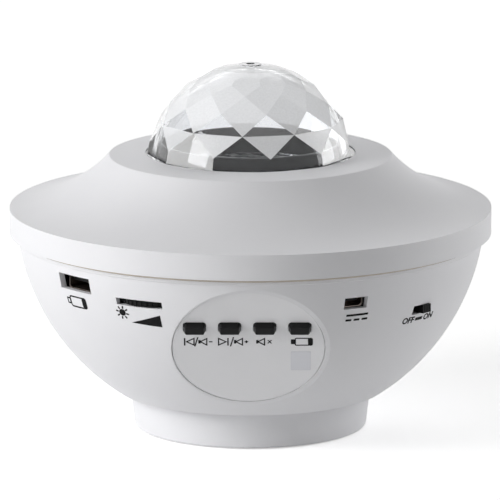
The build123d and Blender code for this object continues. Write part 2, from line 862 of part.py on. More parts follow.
ear_spots = [(pinion_spot[0] + side * bracket_ear_reach, pinion_spot[1]) for side in (-1, 1)]
with BuildPart() as motor_bracket:
    with BuildSketch(Plane.XY.offset(chassis_bottom_z)):
        with Locations(*ear_spots):
            Circle(bracket_ear_radius)
        with Locations(pinion_spot):
            Rectangle(2 * bracket_ear_reach, 2 * bracket_ear_radius)
            Circle(motor_radius + fit_clearance, mode=Mode.SUBTRACT)
        with Locations(*ear_spots):
            Circle(small_screw_radius + screw_clearance, mode=Mode.SUBTRACT)
    extrude(amount=-bracket_ear_thickness)
    with BuildSketch(Plane((*pinion_spot, chassis_bottom_z))):
        Circle(motor_radius + fit_clearance + bracket_wall)
        Circle(motor_radius + fit_clearance, mode=Mode.SUBTRACT)
    extrude(amount=-bracket_height)
finish("motor_bracket", motor_bracket)

motor_screws = screws(
    [Plane((x, y, chassis_bottom_z - bracket_ear_thickness)) for x, y in ear_spots],
    small_screw_radius,
    small_screw_head_radius,
    small_screw_head,
    bracket_ear_thickness + chassis_thickness - fit_clearance,
)
finish("motor_screws", motor_screws)


# ---------------------------------------------------------------- lamp
with BuildPart() as lamp_chassis:
    with BuildSketch(Plane.XY.offset(chassis_bottom_z)):
        Circle(chassis_radius)
        Circle(cup_top_radius + cup_wall, mode=Mode.SUBTRACT)
        with Locations(pinion_spot):
            Circle(shaft_radius + fit_clearance, mode=Mode.SUBTRACT)
        with Locations(*[spot(azimuth, chassis_post_circle) for azimuth in chassis_azimuths]):
            Circle(small_screw_radius + screw_clearance, mode=Mode.SUBTRACT)
        with Locations(*ear_spots):
            Circle(small_screw_radius + screw_clearance, mode=Mode.SUBTRACT)
    extrude(amount=chassis_thickness)
    with BuildSketch(Plane.XY.offset(chassis_top_z)):
        Circle(cup_flange_radius + fit_clearance)
    extrude(amount=-cup_wall, mode=Mode.SUBTRACT)
finish("lamp_chassis", lamp_chassis)

chassis_screws = screws(
    [
        Plane((*spot(azimuth, chassis_post_circle), chassis_bottom_z))
        for azimuth in chassis_azimuths
    ],
    small_screw_radius,
    small_screw_head_radius,
    small_screw_head,
    small_screw_length,
)
finish("chassis_screws", chassis_screws)

with BuildPart() as light_cup:
    with BuildSketch(Plane.XZ):
        with BuildLine():
            Polyline(
                (cup_bottom_radius, cup_bottom_z),
                (cup_top_radius, chassis_top_z - cup_wall),
                (cup_flange_radius, chassis_top_z - cup_wall),
                (cup_flange_radius, chassis_top_z),
                (cup_top_radius - cup_wall, chassis_top_z),
                (cup_bottom_radius - cup_wall, cup_bottom_z),
                close=True,
            )
        make_face()
    revolve(axis=Axis.Z)
finish("light_cup", light_cup)

with BuildPart() as led_board:
    with BuildSketch(Plane.XY.offset(led_board_bottom_z)):
        Circle(led_board_radius)
        Circle(barrel_bore_radius, mode=Mode.SUBTRACT)
    extrude(amount=board_thickness)
finish("led_board", led_board)

with BuildPart() as led_emitters:
    with BuildSketch(Plane.XY.offset(cup_bottom_z)):
        with PolarLocations(led_circle_radius, led_count, start_angle=45):
            Rectangle(led_width, led_width)
    extrude(amount=led_height)
finish("led_emitters", led_emitters)

with BuildPart() as led_lenses:
    with PolarLocations(led_circle_radius, led_count, start_angle=45):
        with Locations((0, 0, cup_bottom_z + led_height)):
            Sphere(led_lens_radius, arc_size1=0, align=(Align.CENTER, Align.CENTER, Align.MIN))
finish("led_lenses", led_lenses)

with BuildPart() as heat_sink:
    with BuildSketch(Plane.XY.offset(led_board_bottom_z)):
        Circle(led_board_radius)
    extrude(amount=-sink_height)
    slot_pitch = (2 * led_board_radius - sink_fin_width) / (sink_fins - 1)
    with BuildSketch(Plane.XY.offset(led_board_bottom_z - sink_height)):
        with GridLocations(slot_pitch, 0, sink_fins - 1, 1):
            Rectangle(slot_pitch - sink_fin_width, 2 * led_board_radius)
    extrude(amount=sink_height - sink_base, mode=Mode.SUBTRACT)
finish("heat_sink", heat_sink)

with BuildPart() as laser_barrel:
    with BuildSketch(Plane.XY.offset(cup_bottom_z)):
        Circle(barrel_radius)
        Circle(barrel_bore_radius, mode=Mode.SUBTRACT)
    extrude(amount=barrel_top_z - cup_bottom_z)
    # Shoulder that the ripple disc turns on
    with BuildSketch(Plane.XY.offset(ripple_bottom_z - running_clearance)):
        Circle(shoulder_radius)
        Circle(barrel_bore_radius, mode=Mode.SUBTRACT)
    extrude(amount=-shoulder_height)
finish("laser_barrel", laser_barrel)

with BuildPart() as laser_module:
    with BuildSketch(Plane.XY.offset(cup_bottom_z)):
        Circle(barrel_bore_radius - running_clearance)
    extrude(amount=laser_length)
    with BuildSketch(Plane.XY.offset(cup_bottom_z + laser_length)):
        Circle(beam_hole_radius)
    extrude(amount=-laser_aperture_depth, mode=Mode.SUBTRACT)
finish("laser_module", laser_module)

with BuildPart() as star_grating:
    with BuildSketch(Plane.XY.offset(barrel_top_z)):
        Circle(barrel_bore_radius - running_clearance)
    extrude(amount=-grating_thickness)
finish("star_grating", star_grating)


# ---------------------------------------------------------------- main board
board_post_spots = [spot(azimuth, board_post_circle) for azimuth in board_post_azimuths]
with BuildPart() as main_board:
    with BuildSketch(Plane.XY.offset(main_board_bottom_z)):
        Circle(main_board_radius)
        with Locations((0, -main_board_radius)):
            Rectangle(board_notch_width, 2 * board_notch_depth, mode=Mode.SUBTRACT)
        with Locations(*board_post_spots):
            Circle(small_screw_radius + screw_clearance, mode=Mode.SUBTRACT)
    extrude(amount=board_thickness)
finish("main_board", main_board)

board_screws = screws(
    [Plane(origin=(x, y, main_board_z), x_dir=(1, 0, 0), z_dir=(0, 0, -1)) for x, y in board_post_spots],
    small_screw_radius,
    small_screw_head_radius,
    small_screw_head,
    small_screw_length,
)
finish("board_screws", board_screws)

with BuildPart() as board_chips:
    for x, y, size in chip_spots:
        with BuildSketch(Plane((x, y, main_board_z))):
            Rectangle(size, size)
        extrude(amount=chip_height)
finish("board_chips", board_chips)

with BuildPart() as board_capacitors:
    with BuildSketch(Plane.XY.offset(main_board_z)):
        with Locations(*capacitor_spots):
            Circle(capacitor_radius)
    extrude(amount=capacitor_height)
    fillet(board_capacitors.edges().group_by(Axis.Z)[-1], capacitor_edge_fillet)
finish("board_capacitors", board_capacitors)


# ---------------------------------------------------------------- sockets
def socket_outline(width, height, taper):
    """Mouth of a socket: a rectangle whose lower corners are cut back by the taper."""
    right = [(width / 2, height / 2), (width / 2, taper - height / 2), (width / 2 - taper, -height / 2)]
    left = [(-x, y) for x, y in reversed(right)]
    return Polygon(*right, *left, align=None)


def socket_shell(mouth, width, height, depth, taper):
    """Folded sheet shell, open at its mouth, with two tabs down to the main board."""
    with BuildPart() as shell:
        with BuildSketch(mouth):
            socket_outline(width, height, taper)
        extrude(amount=-depth)
        with BuildSketch(mouth):
            socket_outline(width - 2 * socket_sheet, height - 2 * socket_sheet, taper)
        extrude(amount=socket_sheet - depth, mode=Mode.SUBTRACT)
        tab_height = mouth.origin.Z - main_board_z
        with BuildSketch(mouth.offset(-depth / 3)):
            with Locations((-width / 2 + socket_sheet / 2, 0), (width / 2 - socket_sheet / 2, 0)):
                Rectangle(socket_sheet, tab_height, align=(Align.CENTER, Align.MAX))
        extrude(amount=-socket_tab_width)
    return shell


usb_mouth = outward(usb_azimuth, bowl_radius_at(usb_z) - usb_recess, usb_z)
usb_shell = socket_shell(usb_mouth, usb_shell_width, usb_shell_height, usb_shell_depth, 2 * socket_sheet)
finish("usb_shell", usb_shell)

usb_tongue_y = usb_shell_height / 2 - socket_sheet - usb_tongue_gap - usb_tongue_thickness / 2
with BuildPart() as usb_tongue:
    with BuildSketch(usb_mouth.offset(-tongue_recess)):
        with Locations((0, usb_tongue_y)):
            Rectangle(usb_tongue_width, usb_tongue_thickness)
    extrude(amount=tongue_recess + socket_sheet - usb_shell_depth)
finish("usb_tongue", usb_tongue)

with BuildPart() as usb_contacts:
    with BuildSketch(usb_mouth.offset(-2 * tongue_recess)):
        with Locations((0, usb_tongue_y - usb_tongue_thickness / 2)):
            with GridLocations(usb_contact_pitch, 0, 4, 1):
                Rectangle(usb_contact_width, usb_contact_thickness, align=(Align.CENTER, Align.MAX))
    extrude(amount=-usb_contact_length)
finish("usb_contacts", usb_contacts)

dc_mouth = outward(dc_azimuth, bowl_radius_at(dc_z) - dc_recess, dc_z)
dc_shell = socket_shell(dc_mouth, dc_shell_width, dc_shell_height, dc_shell_depth, dc_taper)
finish("dc_shell", dc_shell)

with BuildPart() as dc_tongue:
    with BuildSketch(dc_mouth.offset(-tongue_recess)):
        with Locations((0, dc_shell_height / 2 - socket_sheet - dc_tongue_gap)):
            Rectangle(dc_tongue_width, dc_tongue_thickness, align=(Align.CENTER, Align.MAX))
    extrude(amount=tongue_recess + socket_sheet - dc_shell_depth)
finish("dc_tongue", dc_tongue)


# ---------------------------------------------------------------- power switch
switch_body_height = 2 * (main_board_bottom_z - switch_z)
switch_front = bowl_radius_at(switch_z - switch_body_height / 2, wall) - switch_body_wall
switch_slot = outward(switch_azimuth, switch_front, switch_z)
switch_outer = bowl_radius_at(switch_z) - switch_front
stem_reach = switch_body_depth - 2 * switch_body_wall

with BuildPart() as power_switch:
    with BuildSketch(switch_slot):
        Rectangle(switch_body_width, switch_body_height)
    extrude(amount=-switch_body_depth)
    with BuildSketch(switch_slot):
        Rectangle(
            switch_travel + switch_stem_width + 2 * fit_clearance,
            switch_stem_height + 2 * fit_clearance,
        )
    extrude(amount=-stem_reach - fit_clearance, mode=Mode.SUBTRACT)
finish("power_switch", power_switch)

with BuildPart() as power_slider:
    with BuildSketch(switch_slot.offset(fit_clearance)):
        with Locations((switch_travel / 2, 0)):
            Rectangle(switch_knob_width, switch_knob_height)
    extrude(amount=switch_outer + switch_knob_proud - fit_clearance)
    with BuildSketch(switch_slot.offset(switch_outer + switch_knob_proud)):
        with Locations((switch_travel / 2, 0)):
            with GridLocations(switch_groove_pitch, 0, switch_grooves, 1):
                Rectangle(switch_groove_width, switch_knob_height)
    extrude(amount=-switch_groove_depth, mode=Mode.SUBTRACT)
    with BuildSketch(switch_slot.offset(fit_clearance)):
        with Locations((switch_travel / 2, 0)):
            Rectangle(switch_stem_width, switch_stem_height)
    extrude(amount=-stem_reach - fit_clearance)
finish("power_slider", power_slider)


# ---------------------------------------------------------------- dimmer
dimmer_reach = bowl_radius_at(dimmer_z) + dimmer_proud - dimmer_radius
dimmer_spot = spot(dimmer_azimuth, dimmer_reach)
wheel_bottom_z = dimmer_z - dimmer_thickness / 2
wheel_top_z = dimmer_z + dimmer_thickness / 2

with BuildPart() as dimmer_wheel:
    with BuildSketch(Plane((*dimmer_spot, wheel_bottom_z))):
        Circle(dimmer_radius)
        Circle(dimmer_hub_radius + running_clearance, mode=Mode.SUBTRACT)
        with PolarLocations(dimmer_radius, dimmer_ridges):
            Circle(dimmer_ridge_radius, mode=Mode.SUBTRACT)
    extrude(amount=dimmer_thickness)
finish("dimmer_wheel", dimmer_wheel)

with BuildPart() as dimmer_base:
    with BuildSketch(Plane((*dimmer_spot, main_board_z))):
        Rectangle(dimmer_base_width, dimmer_base_width, rotation=dimmer_azimuth)
    extrude(amount=wheel_bottom_z - fit_clearance - main_board_z)
    with BuildSketch(Plane((*dimmer_spot, main_board_z))):
        Circle(dimmer_hub_radius)
    extrude(amount=wheel_top_z + running_clearance - main_board_z)
    with BuildSketch(Plane((*dimmer_spot, wheel_top_z + running_clearance))):
        Circle(dimmer_cap_radius)
    extrude(amount=dimmer_cap_height)
finish("dimmer_base", dimmer_base)


# ---------------------------------------------------------------- control panel and keys
panel_post_spots = [(side * panel_post_x, panel_post_y) for side in (-1, 1)]
with BuildPart() as control_panel:
    with BuildSketch(panel_plane.offset(panel_back)):
        Ellipse(panel_width / 2, panel_height / 2)
        with Locations(*[(x, key_row_y) for x in key_xs]):
            RectangleRounded(
                key_width + 2 * key_gap,
                key_height + 2 * key_gap,
                key_corner + key_gap,
                mode=Mode.SUBTRACT,
            )
    extrude(amount=panel_thickness)
    # Thinned square that the remote's signal passes through
    with BuildSketch(panel_plane.offset(panel_back)):
        with Locations((receiver_x, receiver_y)):
            Rectangle(receiver_window, receiver_window)
    extrude(amount=receiver_window_depth, mode=Mode.SUBTRACT)
    with BuildSketch(panel_plane.offset(panel_back)):
        with Locations(*panel_post_spots):
            Circle(panel_post_radius)
    extrude(amount=key_board_top - panel_back)
    with BuildSketch(panel_plane.offset(key_board_top)):
        with Locations(*panel_post_spots):
            Circle(small_screw_radius + screw_clearance)
    extrude(amount=small_screw_length - board_thickness + fit_clearance, mode=Mode.SUBTRACT)
finish("control_panel", control_panel)

panel_screws = screws(
    [
        Plane(
            origin=panel_plane.offset(key_board_bottom).from_local_coords(Vector(x, y, 0)),
            x_dir=panel_plane.x_dir,
            z_dir=panel_plane.z_dir,
        )
        for x, y in panel_post_spots
    ],
    small_screw_radius,
    small_screw_head_radius,
    small_screw_head,
    small_screw_length,
)
finish("panel_screws", panel_screws)

for key_name, key_x in zip(key_names, key_xs):
    with BuildPart() as key:
        with BuildSketch(panel_plane.offset(key_back)):
            with Locations((key_x, key_row_y)):
                Rectangle(key_width + 2 * key_flange, key_height + 2 * key_flange)
        extrude(amount=key_flange_thickness)
        with BuildSketch(panel_plane.offset(key_back)):
            with Locations((key_x, key_row_y)):
                RectangleRounded(key_width, key_height, key_corner)
        extrude(amount=-key_back)
        with BuildSketch(panel_plane):
            with Locations((key_x, key_row_y)):
                RectangleRounded(key_width, key_height, key_corner)
        extrude(amount=key_proud, taper=key_taper)
        fillet(key.faces().sort_by(panel_axis)[-1].edges(), key_edge_fillet)
    finish(f"{key_name}_key", key)

    with BuildPart() as plunger:
        with BuildSketch(panel_plane.offset(key_back)):
            with Locations((key_x, key_row_y)):
                Circle(plunger_radius)
        extrude(amount=-plunger_height - plunger_depth)
    finish(f"{key_name}_plunger", plunger)

key_spots = [(x, key_row_y) for x in key_xs]
with BuildPart() as tact_switches:
    with BuildSketch(panel_plane.offset(key_board_top)):
        with Locations(*key_spots):
            Rectangle(tact_size, tact_size)
    extrude(amount=tact_height)
    with BuildSketch(panel_plane.offset(tact_top)):
        with Locations(*key_spots):
            Circle(plunger_radius + running_clearance)
    extrude(amount=-plunger_depth - key_travel - fit_clearance, mode=Mode.SUBTRACT)
finish("tact_switches", tact_switches)

with BuildPart() as key_board:
    with BuildSketch(panel_plane.offset(key_board_bottom)):
        with Locations((0, key_board_y)):
            Rectangle(key_board_width, key_board_height)
        with Locations(*panel_post_spots):
            Circle(small_screw_radius + screw_clearance, mode=Mode.SUBTRACT)
    extrude(amount=board_thickness)
finish("key_board", key_board)

with BuildPart() as remote_receiver:
    with BuildSketch(panel_plane.offset(key_board_top)):
        with Locations((receiver_x, receiver_y)):
            Rectangle(receiver_width, receiver_height)
    extrude(amount=receiver_thickness)
    with Locations(panel_plane.offset(key_board_top + receiver_thickness)):
        with Locations((receiver_x, receiver_y, 0)):
            Sphere(receiver_lens_radius)
finish("remote_receiver", remote_receiver)


# ---------------------------------------------------------------- speaker
with BuildPart() as speaker_gasket:
    with BuildSketch(Plane.XY.offset(floor_top_z)):
        Circle(speaker_radius)
        Circle(surround_radius, mode=Mode.SUBTRACT)
    extrude(amount=gasket_thickness)
finish("speaker_gasket", speaker_gasket)

with BuildPart() as speaker_basket:
    bore_radius = coil_outer_radius + coil_gap
    with BuildSketch(Plane.XZ):
        with BuildLine():
            Polyline(
                (surround_radius, gasket_top_z),
                (speaker_radius, gasket_top_z),
                (speaker_radius, speaker_flange_top_z),
                (surround_radius + basket_wall, speaker_flange_top_z),
                (basket_neck_radius + basket_wall, basket_top_z),
                (bore_radius, basket_top_z),
                (bore_radius, basket_neck_z),
                (basket_neck_radius, basket_neck_z),
                (surround_radius, speaker_flange_top_z),
                close=True,
            )
        make_face()
    revolve(axis=Axis.Z)
    with BuildSketch(Plane.XY.offset(speaker_flange_top_z + basket_wall)):
        with PolarLocations((surround_radius + basket_neck_radius) / 2, basket_windows):
            SlotOverall(basket_window_length, basket_window_width, rotation=90)
    extrude(
        amount=basket_neck_z - speaker_flange_top_z - basket_wall - running_clearance,
        mode=Mode.SUBTRACT,
    )
finish("speaker_basket", speaker_basket)

with BuildPart() as speaker_surround:
    roll_inner_radius = surround_radius - surround_width
    roll_middle = (surround_radius + roll_inner_radius) / 2
    roll_top_z = gasket_top_z + surround_rise
    with BuildSketch(Plane.XZ):
        with BuildLine():
            outer_arc = ThreePointArc(
                (surround_radius, gasket_top_z),
                (roll_middle, roll_top_z),
                (roll_inner_radius, gasket_top_z),
            )
            inner_arc = ThreePointArc(
                (roll_inner_radius + surround_thickness, gasket_top_z),
                (roll_middle, roll_top_z - surround_thickness),
                (surround_radius - surround_thickness, gasket_top_z),
            )
            Line(outer_arc @ 1, inner_arc @ 0)
            Line(inner_arc @ 1, outer_arc @ 0)
        make_face()
    revolve(axis=Axis.Z)
finish("speaker_surround", speaker_surround)

with BuildPart() as speaker_cone:
    with BuildSketch(Plane.XZ):
        with BuildLine():
            Polyline(
                (cone_radius, cone_edge_z),
                (throat_radius, throat_z),
                (throat_radius, throat_z + cone_thickness),
                (cone_radius, cone_edge_z + cone_thickness),
                close=True,
            )
        make_face()
    revolve(axis=Axis.Z)
finish("speaker_cone", speaker_cone)

with BuildPart() as voice_coil:
    with BuildSketch(Plane.XY.offset(throat_z)):
        Circle(coil_outer_radius)
        Circle(coil_radius, mode=Mode.SUBTRACT)
    extrude(amount=basket_top_z + magnet_plate - throat_z)
finish("voice_coil", voice_coil)

with BuildPart() as dust_cap:
    cap_edge = (dust_cap_radius, cone_neck_z)
    cap_low = (0, cone_neck_z - dust_cap_rise)
    cap_sphere = (dust_cap_radius**2 + dust_cap_rise**2) / (2 * dust_cap_rise)
    cap_centre = (0, cap_low[1] + cap_sphere)
    with BuildSketch(Plane.XZ):
        with BuildLine():
            ThreePointArc(
                cap_edge, arc_middle(cap_centre, cap_sphere, cap_edge, cap_low), cap_low
            )
            Polyline(cap_low, (0, cone_neck_z), cap_edge)
        make_face()
    revolve(axis=Axis.Z)
finish("dust_cap", dust_cap)

with BuildPart() as speaker_magnet:
    with BuildSketch(Plane.XY.offset(magnet_bottom_z)):
        Circle(magnet_radius)
        Circle(magnet_bore_radius, mode=Mode.SUBTRACT)
    extrude(amount=magnet_height)
finish("speaker_magnet", speaker_magnet)

with BuildPart() as speaker_top_plate:
    with BuildSketch(Plane.XY.offset(basket_top_z)):
        Circle(magnet_plate_radius)
        Circle(coil_outer_radius + coil_gap, mode=Mode.SUBTRACT)
    extrude(amount=magnet_plate)
finish("speaker_top_plate", speaker_top_plate)

with BuildPart() as speaker_yoke:
    with BuildSketch(Plane.XY.offset(magnet_top_z)):
        Circle(magnet_plate_radius)
    extrude(amount=magnet_plate)
    with BuildSketch(Plane.XY.offset(magnet_top_z)):
        Circle(coil_radius - coil_gap)
    extrude(amount=basket_top_z - magnet_top_z)
finish("speaker_yoke", speaker_yoke)


# ---------------------------------------------------------------- foot
base_screw_spots = [spot(azimuth, base_screw_circle) for azimuth in base_screw_azimuths]
with BuildPart() as base_foot:
    with BuildSketch(Plane.XZ):
        with BuildLine():
            Polyline(
                (0, foot_lift),
                (foot_bottom_radius, foot_lift),
                (foot_top_radius, bowl_bottom_z),
                (0, bowl_bottom_z),
                close=True,
            )
        make_face()
    revolve(axis=Axis.Z)
    fillet(base_foot.edges().filter_by(GeomType.CIRCLE).group_by(Axis.Z)[0], foot_edge_fillet)
    # Hollow over the floor, with the screw towers left standing
    with BuildSketch(Plane.XY.offset(floor_top_z)):
        Circle(foot_bottom_radius - foot_wall)
        with Locations(*base_screw_spots):
            Circle(tower_radius, mode=Mode.SUBTRACT)
    extrude(amount=bowl_bottom_z - floor_top_z, mode=Mode.SUBTRACT)
    # Hollow under the floor
    with BuildSketch(Plane.XY.offset(foot_lift)):
        Circle(foot_bottom_radius - foot_wall)
    extrude(amount=floor_rise - foot_lift, mode=Mode.SUBTRACT)
    with BuildSketch(Plane.XY.offset(floor_top_z)):
        Circle(speaker_radius + fit_clearance + locator_wall)
        Circle(speaker_radius + fit_clearance, mode=Mode.SUBTRACT)
    extrude(amount=locator_height)
    # Screw wells and holes
    with BuildSketch(Plane.XY.offset(floor_rise)):
        with Locations(*base_screw_spots):
            Circle(base_screw_head_radius + fit_clearance)
    extrude(amount=tower_seat_z - floor_rise, mode=Mode.SUBTRACT)
    with BuildSketch(Plane.XY.offset(tower_seat_z)):
        with Locations(*base_screw_spots):
            Circle(base_screw_radius + screw_clearance)
    extrude(amount=tower_cap, mode=Mode.SUBTRACT)
    # Speaker grille
    with BuildSketch(Plane.XY.offset(floor_rise)):
        Circle(grille_hole_radius)
        for ring in range(1, grille_rings + 1):
            with PolarLocations(ring * grille_pitch, 6 * ring):
                Circle(grille_hole_radius)
    extrude(amount=floor_thickness, mode=Mode.SUBTRACT)
finish("base_foot", base_foot)

base_screws = screws(
    [Plane((x, y, tower_seat_z)) for x, y in base_screw_spots],
    base_screw_radius,
    base_screw_head_radius,
    base_screw_head,
    base_screw_length,
)
finish("base_screws", base_screws)

with BuildPart() as rubber_feet:
    with BuildSketch(Plane.XY):
        with Locations(*[spot(azimuth, pad_circle) for azimuth in pad_azimuths]):
            Circle(pad_radius)
    extrude(amount=floor_rise)
    chamfer(rubber_feet.edges().group_by(Axis.Z)[0], pad_chamfer)
finish("rubber_feet", rubber_feet)
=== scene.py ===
# Star night light projector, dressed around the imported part.
import json
import math

import bpy
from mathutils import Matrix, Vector


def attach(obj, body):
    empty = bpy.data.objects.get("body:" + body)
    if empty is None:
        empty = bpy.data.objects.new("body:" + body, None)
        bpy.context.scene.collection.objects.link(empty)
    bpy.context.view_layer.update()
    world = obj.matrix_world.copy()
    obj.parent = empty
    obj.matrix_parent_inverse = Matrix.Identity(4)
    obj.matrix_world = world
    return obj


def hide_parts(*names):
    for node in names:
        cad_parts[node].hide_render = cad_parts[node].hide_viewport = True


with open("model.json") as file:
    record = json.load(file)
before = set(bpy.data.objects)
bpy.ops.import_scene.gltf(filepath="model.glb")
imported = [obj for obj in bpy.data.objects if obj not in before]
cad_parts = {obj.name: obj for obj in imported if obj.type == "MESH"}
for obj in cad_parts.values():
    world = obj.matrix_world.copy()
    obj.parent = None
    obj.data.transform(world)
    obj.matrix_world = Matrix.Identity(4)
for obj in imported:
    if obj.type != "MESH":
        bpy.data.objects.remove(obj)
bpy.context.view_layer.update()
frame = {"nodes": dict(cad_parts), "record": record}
print("frame loaded:", len(frame["nodes"]), "nodes")

mm = 0.001  # in metres
noiseSpan = (0.3, 0.7)  # nearly all values of a noise texture lie between these
mixColours = (6, 7)  # a Mix node's colour sockets, whose names other sockets of it have too


def linear(hexColour):  # sRGB hex to the linear colour that a socket takes
    channels = [int(hexColour[place:place + 2], 16) / 255 for place in (1, 3, 5)]
    return [c / 12.92 if c <= 0.04045 else ((c + 0.055) / 1.055) ** 2.4 for c in channels] + [1.0]


def addNode(tree, kind, settings=None, links=None):  # by socket name, socket number or property
    node = tree.nodes.new(kind)
    for key, value in (settings or {}).items():
        if isinstance(key, int) or key in node.inputs:
            node.inputs[key].default_value = value
        else:
            setattr(node, key, value)
    for key, source in (links or {}).items():
        tree.links.new(source, node.inputs[key])
    return node


def startMaterial(name, values):  # a material with its shader and Object coordinates
    material = bpy.data.materials.new(name)
    material.use_nodes = True
    tree = material.node_tree
    tree.nodes.clear()
    shader = addNode(tree, "ShaderNodeBsdfPrincipled", values)
    addNode(tree, "ShaderNodeOutputMaterial", None, {"Surface": shader.outputs[0]})
    place = addNode(tree, "ShaderNodeTexCoord").outputs["Object"]
    return material, tree, shader, place


def dressSkin(tree, shader, look, drift, pattern):
    # drift blends the two tones; pattern makes the polish uneven and stands up as a shallow relief
    tone = addNode(
        tree,
        "ShaderNodeMix",
        {
            "data_type": "RGBA",
            mixColours[0]: linear(look["colour"]),
            mixColours[1]: linear(look["shade"]),
        },
        {"Factor": drift},
    )
    polish = addNode(
        tree, "ShaderNodeMapRange", {"To Min": look["smooth"], "To Max": look["rough"]}, {"Value": pattern}
    )
    relief = addNode(
        tree,
        "ShaderNodeBump",
        {"Strength": look["bump"], "Distance": look["deepMm"] * mm},
        {"Height": pattern},
    )
    tree.links.new(tone.outputs[2], shader.inputs["Base Color"])
    tree.links.new(polish.outputs[0], shader.inputs["Roughness"])
    tree.links.new(relief.outputs[0], shader.inputs["Normal"])


def grainedSkin(name, look):
    # moulded, pressed, foamed or fired: an even grain breaks up the sheen, and the tone hardly drifts
    material, tree, shader, place = startMaterial(
        name, {"IOR": look["ior"], "Specular IOR Level": look["specular"]}
    )
    grain = addNode(
        tree,
        "ShaderNodeTexNoise",
        {"Scale": 1 / (look["grainMm"] * mm), "Detail": 2.0},
        {"Vector": place},
    )
    cloud = addNode(
        tree,
        "ShaderNodeTexNoise",
        {"Scale": 1 / (look["cloudMm"] * mm), "Detail": 3.0},
        {"Vector": place},
    )
    dressSkin(tree, shader, look, cloud.outputs[0], grain.outputs[0])
    return material


def workedMetal(name, look):
    # drawn, rolled or plated: fine lines along the work in both tone and polish
    material, tree, shader, place = startMaterial(name, {"Metallic": 1.0})
    along = addNode(tree, "ShaderNodeMapping", {"Scale": look["stretch"]}, {"Vector": place})
    lines = addNode(
        tree,
        "ShaderNodeTexNoise",
        {"Scale": 1 / (look["lineMm"] * mm), "Detail": 3.0},
        {"Vector": along.outputs[0]},
    )
    dressSkin(tree, shader, look, lines.outputs[0], lines.outputs[0])
    return material


def clearPlastic(name, look):
    # polished injection-moulded plastic: hard glints and slow flow waves, with hardly any haze
    material, tree, shader, place = startMaterial(
        name,
        {
            "Base Color": linear(look["colour"]),
            "Transmission Weight": 1.0,
            "IOR": look["ior"],
            "Roughness": look["haze"],
        },
    )
    flow = addNode(
        tree,
        "ShaderNodeTexNoise",
        {"Scale": 1 / (look["flowMm"] * mm), "Detail": 1.0},
        {"Vector": place},
    )
    waves = addNode(
        tree,
        "ShaderNodeBump",
        {"Strength": look["wave"], "Distance": look["waveMm"] * mm},
        {"Height": flow.outputs[0]},
    )
    tree.links.new(waves.outputs[0], shader.inputs["Normal"])
    return material


def facetedPolycarbonate(name, look):
    # steep facets are polished and let the dark inside show; those that face up are made milky white as a
    # painted reflection of the light from overhead, though the real dome is clear all over; the round inner
    # face is polished all over
    material, tree, shader, place = startMaterial(
        name,
        {
            "Base Color": linear(look["colour"]),
            "IOR": look["ior"],
            "Roughness": look["haze"],
            "Coat Weight": look["coat"],
            "Coat IOR": look["coatIor"],
            "Coat Roughness": look["coatHaze"],
        },
    )
    facing = addNode(
        tree,
        "ShaderNodeSeparateXYZ",
        None,
        {0: addNode(tree, "ShaderNodeNewGeometry").outputs["True Normal"]},
    )
    # clear on steep facets and milky on those that face up: painted reflection of the light from overhead
    polished = addNode(
        tree,
        "ShaderNodeMapRange",
        {
            "From Min": look["paintedSheenFrom"],
            "From Max": look["paintedSheenFull"],
            "To Min": 1.0,
            "To Max": look["paintedSheenClear"],
        },
        {"Value": facing.outputs["Z"]},
    )
    sheenMottle = addNode(
        tree,
        "ShaderNodeTexNoise",
        {"Scale": 1 / (look["sheenMottleMm"] * mm), "Detail": 2.0},
        {"Vector": place},
    )
    mottle = addNode(
        tree,
        "ShaderNodeMapRange",
        {
            "From Min": noiseSpan[0],
            "From Max": noiseSpan[1],
            "To Min": -look["mottle"],
            "To Max": look["mottle"],
        },
        {"Value": sheenMottle.outputs[0]},
    )
    clearness = addNode(
        tree,
        "ShaderNodeMath",
        {"operation": "ADD", "use_clamp": True},
        {0: polished.outputs[0], 1: mottle.outputs[0]},
    )
    depth = addNode(
        tree, "ShaderNodeVectorMath", {"operation": "DISTANCE", 1: look["centre"]}, {0: place}
    )
    inner = addNode(
        tree,
        "ShaderNodeMath",
        {"operation": "LESS_THAN", 1: look["innerReach"]},
        {0: depth.outputs["Value"]},
    )
    through = addNode(
        tree, "ShaderNodeMath", {"operation": "MAXIMUM"}, {0: clearness.outputs[0], 1: inner.outputs[0]}
    )
    tree.links.new(through.outputs[0], shader.inputs["Transmission Weight"])
    return material


# skins that several finishes share; the grain is drawn coarser than a real one, so that it shows
matte = {
    "ior": 1.53, "specular": 0.35, "smooth": 0.46, "rough": 0.62,
    "grainMm": 0.6, "cloudMm": 30, "bump": 0.7, "deepMm": 0.05,
}
satin = {
    "ior": 1.53, "specular": 0.5, "smooth": 0.26, "rough": 0.36,
    "grainMm": 0.4, "cloudMm": 18, "bump": 0.12, "deepMm": 0.0333,
}
glossy = {
    "ior": 1.53, "specular": 0.5, "smooth": 0.1, "rough": 0.2,
    "grainMm": 0.8, "cloudMm": 18, "bump": 0.05, "deepMm": 0.0667,
}
dull = {
    "ior": 1.53, "specular": 0.3, "smooth": 0.75, "rough": 0.95,
    "grainMm": 0.9, "cloudMm": 12, "bump": 0.6, "deepMm": 0.075,
}
rolled = {"stretch": (1, 1, 10), "lineMm": 0.5, "smooth": 0.22, "rough": 0.4, "bump": 0.3, "deepMm": 0.025}

